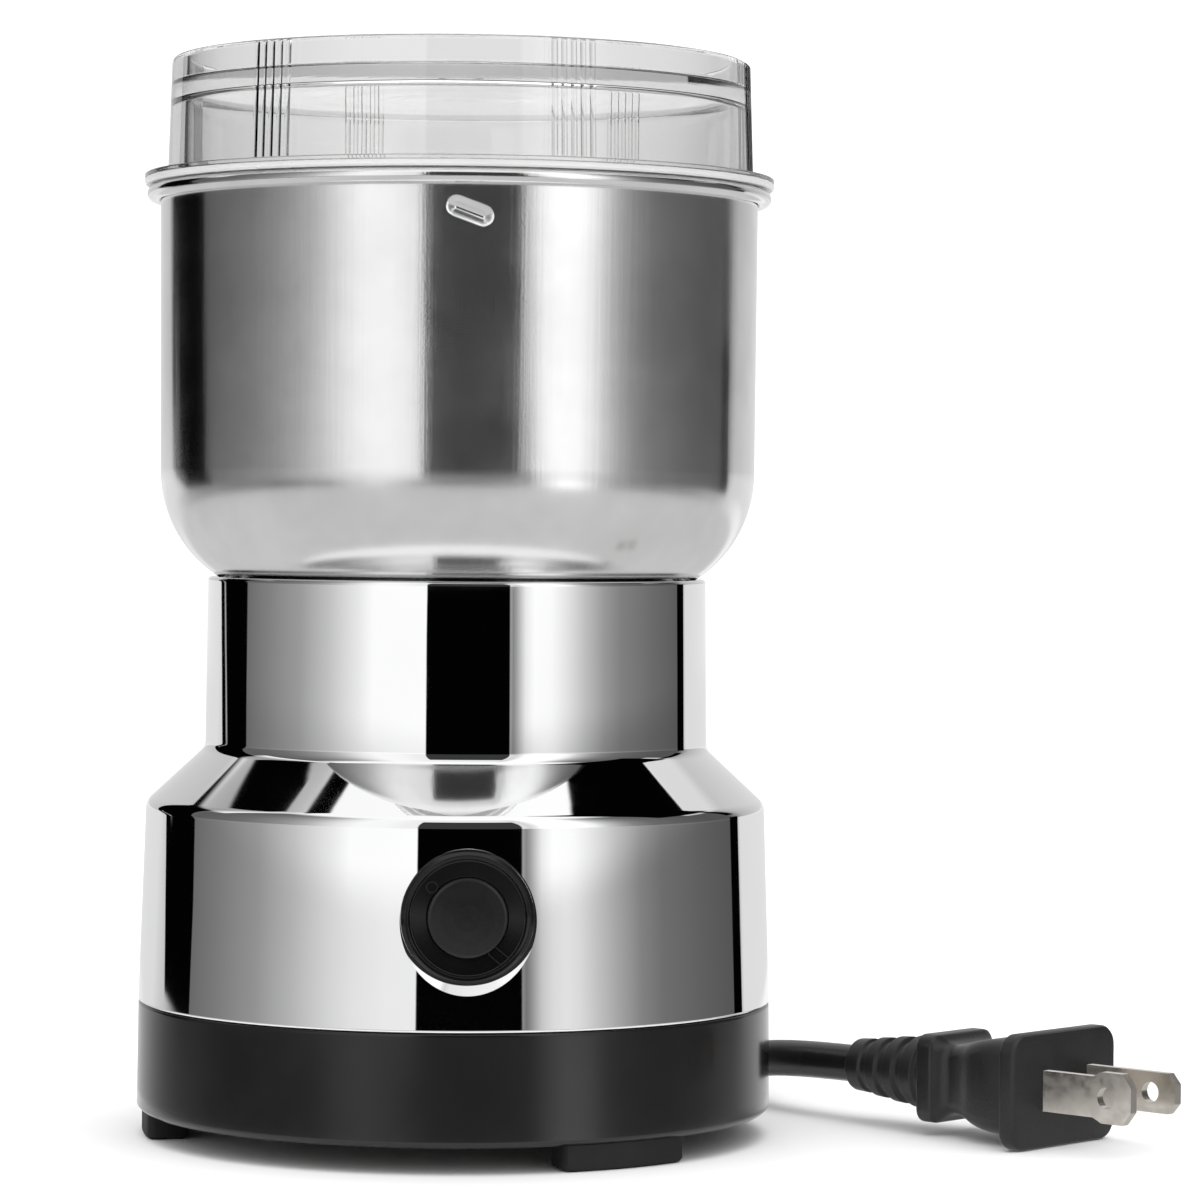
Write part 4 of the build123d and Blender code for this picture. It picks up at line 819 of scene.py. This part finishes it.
# ------------------------------------------------------------------ strain relief
along_y = Matrix(((1, 0, 0, 0), (0, 0, 1, 0), (0, 1, 0, 12.3 * MM), (0, 0, 0, 1)))
boot = lathe("strain_relief_visual", rounded([
    (0, 44.5), (5.7, 44.5), (5.7, 46.7), (4.98, 46.7), (4.98, 50.15), (6.4, 50.15, 0.3), (6.4, 51.6, 0.4), (5.6, 52.4, 0.2), (5.6, 54.6, 0.3), (4.6, 54.8, 0.2),
    (4.6, 56.2, 0.2), (5.35, 56.4, 0.3), (5.3, 59.0, 0.3), (4.45, 59.2, 0.2), (4.45, 60.6, 0.2), (5.05, 60.8, 0.3), (4.95, 63.4, 0.3), (4.2, 63.6, 0.2),
    (4.2, 65.0, 0.2), (4.75, 65.2, 0.3), (4.65, 67.8, 0.3), (4.0, 68.0, 0.2), (4.0, 69.4, 0.2), (4.45, 69.6, 0.3), (4.3, 72.2, 0.3), (3.8, 72.4, 0.2),
    (3.75, 75.0, 0.4), (0, 75.0),
], 20.0, 0.08), angles(96), along_y, smooth=40.0)
finish_piece(boot, "housing", "cord_pvc", "strain_relief", slot="cord_pvc")

# ------------------------------------------------------------------ plug
PLUG = Matrix((
    (PLUG_X.x, 0, PLUG_D.x, PLUG_F.x * MM),
    (PLUG_X.y, 0, PLUG_D.y, PLUG_F.y * MM),
    (PLUG_X.z, 1, PLUG_D.z, PLUG_F.z * MM),
    (0, 0, 0, 1),
))


def rounded_rect(w, t, r, n=10):
    """Corner arcs of n steps each, joined by straight sides."""
    out = []
    for qx, qy, a0 in ((1, 1, 0), (-1, 1, 90), (-1, -1, 180), (1, -1, 270)):
        cx, cy = qx * (w / 2 - r), qy * (t / 2 - r)
        for i in range(n + 1):
            a = math.radians(a0 + 90.0 * i / n)
            out.append((cx + r * math.cos(a), cy + r * math.sin(a)))
    return out


def loft(name, sections, place, smooth=40.0):
    """Sections are (h, w, t, r), in mm; the piece is closed with a face at each end."""
    verts, faces = [], []
    loops = [[(x, y, h) for x, y in rounded_rect(w, t, min(r, w / 2 - 0.01, t / 2 - 0.01))] for h, w, t, r in sections]
    n = len(loops[0])
    for loop in loops:
        verts += [(x * MM, y * MM, h * MM) for x, y, h in loop]
    for j in range(len(loops) - 1):
        for i in range(n):
            k = (i + 1) % n
            faces.append((j * n + i, j * n + k, (j + 1) * n + k, (j + 1) * n + i))
    faces += [tuple(reversed(range(n))), tuple(range((len(loops) - 1) * n, len(loops) * n))]
    mesh = bpy.data.meshes.new(name)
    mesh.from_pydata(verts, [], faces)
    bm = bmesh.new()
    bm.from_mesh(mesh)
    bmesh.ops.recalc_face_normals(bm, faces=bm.faces)
    bm.to_mesh(mesh)
    bm.free()
    put(mesh, place)
    return link_mesh(name, mesh, smooth)


def eased(sections, count):
    """Sections in between, on a smooth curve through the given ones."""
    out = []
    n = len(sections)
    for i in range(n - 1):
        p0, p1, p2, p3 = sections[max(0, i - 1)], sections[i], sections[i + 1], sections[min(n - 1, i + 2)]
        for k in range(count):
            t = k / count
            out.append(tuple(
                0.5 * (2 * b + (c - a) * t + (2 * a - 5 * b + 4 * c - d) * t * t + (3 * b - a - 3 * c + d) * t ** 3)
                for a, b, c, d in zip(p0, p1, p2, p3)
            ))
    out.append(sections[-1])
    return out


body_sections = [(0.0, 24.9, 16.9, 2.7), (-0.12, 25.5, 17.5, 3.0), (-0.45, 25.95, 17.95, 3.2), (-0.7, 26.0, 18.0, 3.2), (-2.3, 26.0, 18.0, 3.2),
                 (-2.75, 25.9, 17.9, 3.2), (-2.95, 25.6, 17.6, 3.0), (-3.0, 25.0, 17.0, 2.8), (-3.02, 18.9, 15.3, 3.0), (-3.2, 18.1, 14.6, 2.8)]
body_sections += eased([(-3.6, 17.8, 14.35, 2.7), (-5.0, 18.4, 14.75, 2.7), (-7.2, 18.5, 14.8, 2.7), (-10.0, 17.9, 14.4, 2.7), (-12.8, 16.4, 13.4, 2.6),
                        (-15.4, 13.9, 12.0, 2.4), (-17.6, 12.5, 11.0, 2.2), (-18.6, 12.6, 11.1, 2.2), (-19.6, 13.6, 12.0, 2.3), (-20.5, 15.6, 13.7, 2.3)], 4)
body_sections += [(-20.75, 15.95, 13.95, 2.3), (-21.0, 16.0, 14.0, 2.3), (-23.0, 16.0, 14.0, 2.3), (-23.3, 15.9, 13.9, 2.2), (-23.48, 15.5, 13.5, 2.1), (-23.5, 12.0, 12.0, 2.0)]
plug = loft("plug_body_visual", body_sections, PLUG, 32.0)
panels = []
for s in (1, -1):
    spin = Matrix(((1, 0, 0, 0), (0, 0, s, 0), (0, 1, 0, 0), (0, 0, 0, 1)))
    panels.append(prism("panel_tool", [(-3.2, -15.6), (3.2, -15.6), (3.2, -5.4), (-3.2, -5.4)], 6.95, 9.0, PLUG @ spin))
cut(plug, panels)
tail = lathe("tail_tool", rounded([
    (0, -22.0), (5.6, -22.0), (5.6, -23.3), (6.2, -23.6, 0.2), (6.2, -24.5, 0.25), (4.95, -24.7, 0.2), (4.95, -26.4, 0.2), (5.9, -26.6, 0.25),
    (5.75, -28.9, 0.25), (4.6, -29.1, 0.2), (4.6, -30.6, 0.2), (5.4, -30.9, 0.25), (5.25, -33.0, 0.25), (4.25, -33.2, 0.2), (4.25, -34.6, 0.2),
    (4.9, -34.9, 0.25), (4.75, -36.9, 0.25), (3.9, -37.1, 0.2), (3.9, -38.4, 0.2), (4.4, -38.7, 0.25), (4.2, -41.5, 0.4), (0, -41.5),
], 20.0, 0.08), angles(96), PLUG, smooth=None)
cut(plug, [tail], "UNION")
sharpen(plug.data, 32.0)
finish_piece(plug, "housing", "plug_pvc", "plug_body", slot="plug_pvc")
plug.visible_glossy = False

# ------------------------------------------------------------------ carried-over CAD nodes
slots = {s["node"]: s["material_slot"] for s in frame["record"]["subparts"]}
replaced = {"base_cover", "rubber_feet", "motor_housing", "bowl", "lid", "lid_seal", "switch_bezel", "push_button",
            "strain_relief", "plug_body", "cord_lead_in", "cord_coil", "cord_lead_out"}
alias = {"tie_pvc": "cord_pvc", "switch_plastic": "bezel_satin"}
for name, obj in NODES.items():
    if name in replaced:
        continue
    slot_name = slots[name]
    obj.data.materials.clear()
    obj.data.materials.append(MAT[alias.get(slot_name, slot_name)])

# ------------------------------------------------------------------ floor
paper = Shader("floor_paper", (0.86, 0.86, 0.86), 0.9)
paper.vary_color(paper.noise(3.0, 2.0), (0.855, 0.855, 0.855), (0.865, 0.865, 0.865))
rim = [(0.078 * math.cos(2 * math.pi * k / 96), 0.078 * math.sin(2 * math.pi * k / 96), 0) for k in range(96)]
edge = [(6 * c[0] / max(abs(c[0]), abs(c[1])), 6 * c[1] / max(abs(c[0]), abs(c[1])), 0) for c in rim]
for name, verts, faces in (
    ("floor_near", rim, [tuple(range(96))]),
    ("floor_far", rim + edge, [(k, 96 + k, 96 + (k + 1) % 96, (k + 1) % 96) for k in range(96)]),
):
    mesh = bpy.data.meshes.new(name)
    mesh.from_pydata(verts, [], faces)
    mesh.materials.append(paper.mat)
    floor = bpy.data.objects.new(name, mesh)
    scene.collection.objects.link(floor)
    floor.visible_glossy = name == "floor_near"

# ------------------------------------------------------------------ studio
world = bpy.data.worlds.new("studio")
world.use_nodes = True
world.node_tree.nodes["Background"].inputs["Color"].default_value = (1, 1, 1, 1)
world.node_tree.nodes["Background"].inputs["Strength"].default_value = 1.2
scene.world = world


def studio_wall():
    """A ring of panels and flags round the object, seen in its reflections only. Azimuth 0 is on
    the camera's side and grows to the right."""
    m = bpy.data.materials.new("studio_panels")
    m.use_nodes = True
    tree = m.node_tree
    tree.nodes.clear()
    new, link = tree.nodes.new, tree.links.new
    out, glow = new("ShaderNodeOutputMaterial"), new("ShaderNodeEmission")
    link(glow.outputs[0], out.inputs["Surface"])
    coords = new("ShaderNodeTexCoord")
    split = new("ShaderNodeSeparateXYZ")
    link(coords.outputs["Object"], split.inputs[0])

    def calc(op, a, b=None):
        n = new("ShaderNodeMath")
        n.operation = op
        for i, v in enumerate((a, b)):
            if v is None:
                continue
            if isinstance(v, (int, float)):
                n.inputs[i].default_value = v
            else:
                link(v, n.inputs[i])
        return n.outputs[0]

    azimuth = calc("ARCTAN2", split.outputs[0], calc("MULTIPLY", split.outputs[1], -1.0))
    fac = calc("ADD", calc("MULTIPLY", azimuth, 1 / (2 * math.pi)), 0.5)
    flat = calc("SQRT", calc("ADD", calc("MULTIPLY", split.outputs[0], split.outputs[0]), calc("MULTIPLY", split.outputs[1], split.outputs[1])))
    height = calc("ARCTAN2", split.outputs[2], flat)

    def ramp(stops):
        n = new("ShaderNodeValToRGB")
        n.color_ramp.interpolation = "LINEAR"
        e = n.color_ramp.elements
        while len(e) > 1:
            e.remove(e[-1])
        first = True
        for a, v in stops:
            pos = (a + 180.0) / 360.0
            if first:
                e[0].position, e[0].color, first = pos, (v, v, v, 1), False
            else:
                x = e.new(pos)
                x.color = (v, v, v, 1)
        link(fac, n.inputs[0])
        return n.outputs[0]

    degrees = calc("MULTIPLY", azimuth, 180 / math.pi)
    rise = calc("MULTIPLY", height, 180 / math.pi)

    def over(value, limit, soft=0.25):
        """0 below the limit and 1 above it; the limit is a number or another output."""
        n = new("ShaderNodeMapRange")
        n.interpolation_type = "SMOOTHSTEP"
        link(calc("SUBTRACT", value, limit), n.inputs["Value"])
        n.inputs["From Min"].default_value = -soft
        n.inputs["From Max"].default_value = soft
        return n.outputs["Result"]

    def inside(value, low_edge, high_edge, soft=0.25):
        return calc("SUBTRACT", over(value, low_edge, soft), over(value, high_edge, soft))

    def both(*masks):
        out = masks[0]
        for m2 in masks[1:]:
            out = calc("MULTIPLY", out, m2)
        return out

    def by_height(stops):
        """A flag's edge, in degrees of azimuth, as a curve over the elevation in degrees."""
        n = new("ShaderNodeFloatCurve")
        link(calc("MULTIPLY", calc("ADD", rise, 20.0), 1 / 60.0), n.inputs["Value"])
        c = n.mapping.curves[0]
        n.mapping.use_clip = False
        for k, (e, a) in enumerate(stops):
            x, y = (e + 20.0) / 60.0, (a + 180.0) / 360.0
            if k < 2:
                c.points[k].location = (x, y)
            else:
                c.points.new(x, y)
        for q in c.points:
            q.handle_type = "VECTOR"
        n.mapping.update()
        return calc("SUBTRACT", calc("MULTIPLY", n.outputs["Value"], 360.0), 180.0)

    low = ramp([
        (-180, 0.90), (-160, 0.86), (-140, 0.80), (-128, 0.60), (-118, 0.20), (-112, 0.16), (-95, 0.25), (-75, 0.38), (-60, 0.62), (-45, 0.95), (-38, 1.15),
        (23.6, 1.15), (24, 0.16), (27, 0.42), (31, 0.95), (35, 1.15), (43, 1.12), (50, 0.92), (60, 0.60), (70, 0.37), (80, 0.25), (100, 0.17), (121, 0.12),
        (127, 0.5), (129, 0.80), (160, 0.86), (180, 0.90),
    ])
    below = ramp([
        (-180, 0.80), (-140, 0.80), (-128, 0.60), (-118, 0.17), (-112, 0.15), (-95, 0.22), (-75, 0.33), (-60, 0.51), (-45, 0.76), (-36, 0.88), (-24, 0.96),
        (-14, 0.96), (23.6, 0.90), (24, 0.12), (27, 0.30), (31, 0.64), (35, 0.79), (40, 0.86), (45, 0.79), (52, 0.60), (60, 0.42), (70, 0.25), (80, 0.175),
        (100, 0.13), (121, 0.10), (127, 0.5), (129, 0.80), (180, 0.80),
    ])
    high = ramp([
        (-180, 0.80), (-141, 0.80), (-139, 0.50), (-126, 0.36), (-116, 0.58), (-110, 1.12), (0, 1.15), (110, 1.15), (130, 0.9), (134, 0.79), (180, 0.80),
    ])
    above = ramp([
        (-180, 0.84), (-160, 0.66), (-146, 0.60), (-128, 0.50), (-118, 0.14), (-109, 0.12), (-96, 0.145), (-84, 0.18), (-72, 0.26), (-64, 0.35), (-56, 0.50),
        (-50, 0.70), (-43, 0.95), (-36, 1.12), (-26, 1.10), (-18, 1.0), (23, 0.9), (27, 0.75), (31, 1.18), (36, 1.28), (46, 1.28), (52, 1.05), (57, 0.66),
        (63, 0.40), (69, 0.25), (77, 0.165), (90, 0.125), (108, 0.095), (122, 0.10), (133, 0.50), (146, 0.62), (180, 0.84),
    ])
    bench = ramp([
        (-180, 0.90), (-161, 0.88), (-146, 0.76), (-137, 0.61), (-129, 0.46), (-116, 0.35), (-106, 0.31), (-97, 0.22), (-88, 0.16), (-66, 0.16), (-50, 0.26),
        (-41, 0.62), (-32, 0.84), (-23, 0.62), (-15, 0.30), (-6, 0.10), (13, 0.10), (19, 0.15), (28, 0.40), (33, 1.05), (40, 1.80), (48, 1.50), (55, 0.62),
        (62, 0.37), (80, 0.27), (100, 0.34), (109, 0.45), (121, 0.55), (134, 0.85), (146, 1.0), (180, 1.0),
    ])
    outer = by_height([(-20, -127.0), (40, -143.0), (-6, -127.5), (-3.4, -131.8), (-1.3, -135.6), (2.2, -142.2), (5, -144.0)])
    inner = by_height([(-20, -109.0), (40, -120.0), (-6, -109.5), (-3.4, -109.3), (-1.3, -110.6), (2.2, -111.6), (5, -113.0)])
    upper = over(rise, 33.0, 1.5)
    lower = calc("SUBTRACT", 1.0, upper)
    left_flag = both(lower, over(rise, -5.5, 0.12), inside(degrees, outer, inner))
    left_line = both(inside(rise, -2.4, 4.0, 0.3), inside(degrees, calc("ADD", outer, 4.4), calc("ADD", outer, 6.0), 0.3))
    right_flag = both(lower, over(rise, -6.1, 0.2), inside(degrees, 120.8, 127.3), calc("SUBTRACT", 1.0, inside(rise, 4.9, 12.0, 0.4)))
    front_flag = both(inside(rise, -4.9, 42.0, 0.3), inside(degrees, -13.4, 23.8, 0.3))
    lean = calc("SUBTRACT", degrees, calc("MULTIPLY", rise, 1.4))
    left_wedge = both(upper, inside(lean, -199.2, -190.8, 0.4), inside(degrees, -146.0, -119.0))
    inner_wedge = both(over(rise, 60.0, 0.5), inside(degrees, -114.8, -110.0, 0.4))
    lean = calc("ADD", degrees, calc("MULTIPLY", calc("SUBTRACT", rise, 63.0), 1.9))
    right_wedge = both(upper, calc("SUBTRACT", 1.0, over(lean, 116.4, 0.5)), inside(degrees, 90.0, 132.9))

    def between(low_deg, high_deg):
        n = new("ShaderNodeMapRange")
        n.interpolation_type = "SMOOTHSTEP"
        link(rise, n.inputs["Value"])
        n.inputs["From Min"].default_value = low_deg
        n.inputs["From Max"].default_value = high_deg
        return n.outputs["Result"]

    def mix(fac_out, a, b):
        n = new("ShaderNodeMix")
        n.data_type = "RGBA"
        link(fac_out, n.inputs["Factor"])
        for socket, v in ((n.inputs[6], a), (n.inputs[7], b)):
            if isinstance(v, float):
                socket.default_value = (v, v, v, 1)
            else:
                link(v, socket)
        return n.outputs[2]

    aside = over(calc("ABSOLUTE", degrees), 106.0, 2.0)
    colour = mix(between(-6.6, -6.2), bench, mix(between(1.15, 1.65), mix(between(-2.0, -0.9), below, low), above))
    colour = mix(calc("MAXIMUM", both(between(28, 34), aside), between(52, 62)), colour, high)
    colour = mix(between(72, 80), colour, 1.12)
    front_value = mix(between(1.15, 1.65), 0.0008, 0.045)
    for flag, value in ((left_flag, 0.0008), (left_line, 0.38), (right_flag, 0.0008), (front_flag, front_value),
                        (left_wedge, 0.0008), (inner_wedge, 0.0008), (right_wedge, 0.0008)):
        colour = mix(flag, colour, value)
    under = mix(between(-12.6, -10.4), 0.64, colour)
    link(under, glow.inputs["Color"])
    glow.inputs["Strength"].default_value = 1.0
    bm = bmesh.new()
    bmesh.ops.create_uvsphere(bm, u_segments=64, v_segments=32, radius=2.0)
    mesh = bpy.data.meshes.new("studio_wall")
    bm.to_mesh(mesh)
    bm.free()
    mesh.materials.append(m)
    obj = bpy.data.objects.new("studio_wall", mesh)
    obj.location = (0, 0, 0.06)
    scene.collection.objects.link(obj)
    obj.visible_camera = False
    obj.visible_diffuse = False
    obj.visible_shadow = False
    obj.visible_volume_scatter = False


studio_wall()


def area(name, where, target, size, power):
    data = bpy.data.lights.new(name, "AREA")
    data.shape, data.size, data.energy = "SQUARE", size, power
    obj = bpy.data.objects.new(name, data)
    obj.location = where
    obj.rotation_mode = "QUATERNION"
    obj.rotation_quaternion = (Vector(target) - Vector(where)).to_track_quat("-Z", "Y")
    obj.visible_glossy = False
    obj.visible_camera = False
    scene.collection.objects.link(obj)


area("top_light", (0.0, -0.2, 1.5), (0, 0, 0.05), 1.6, 14.0)
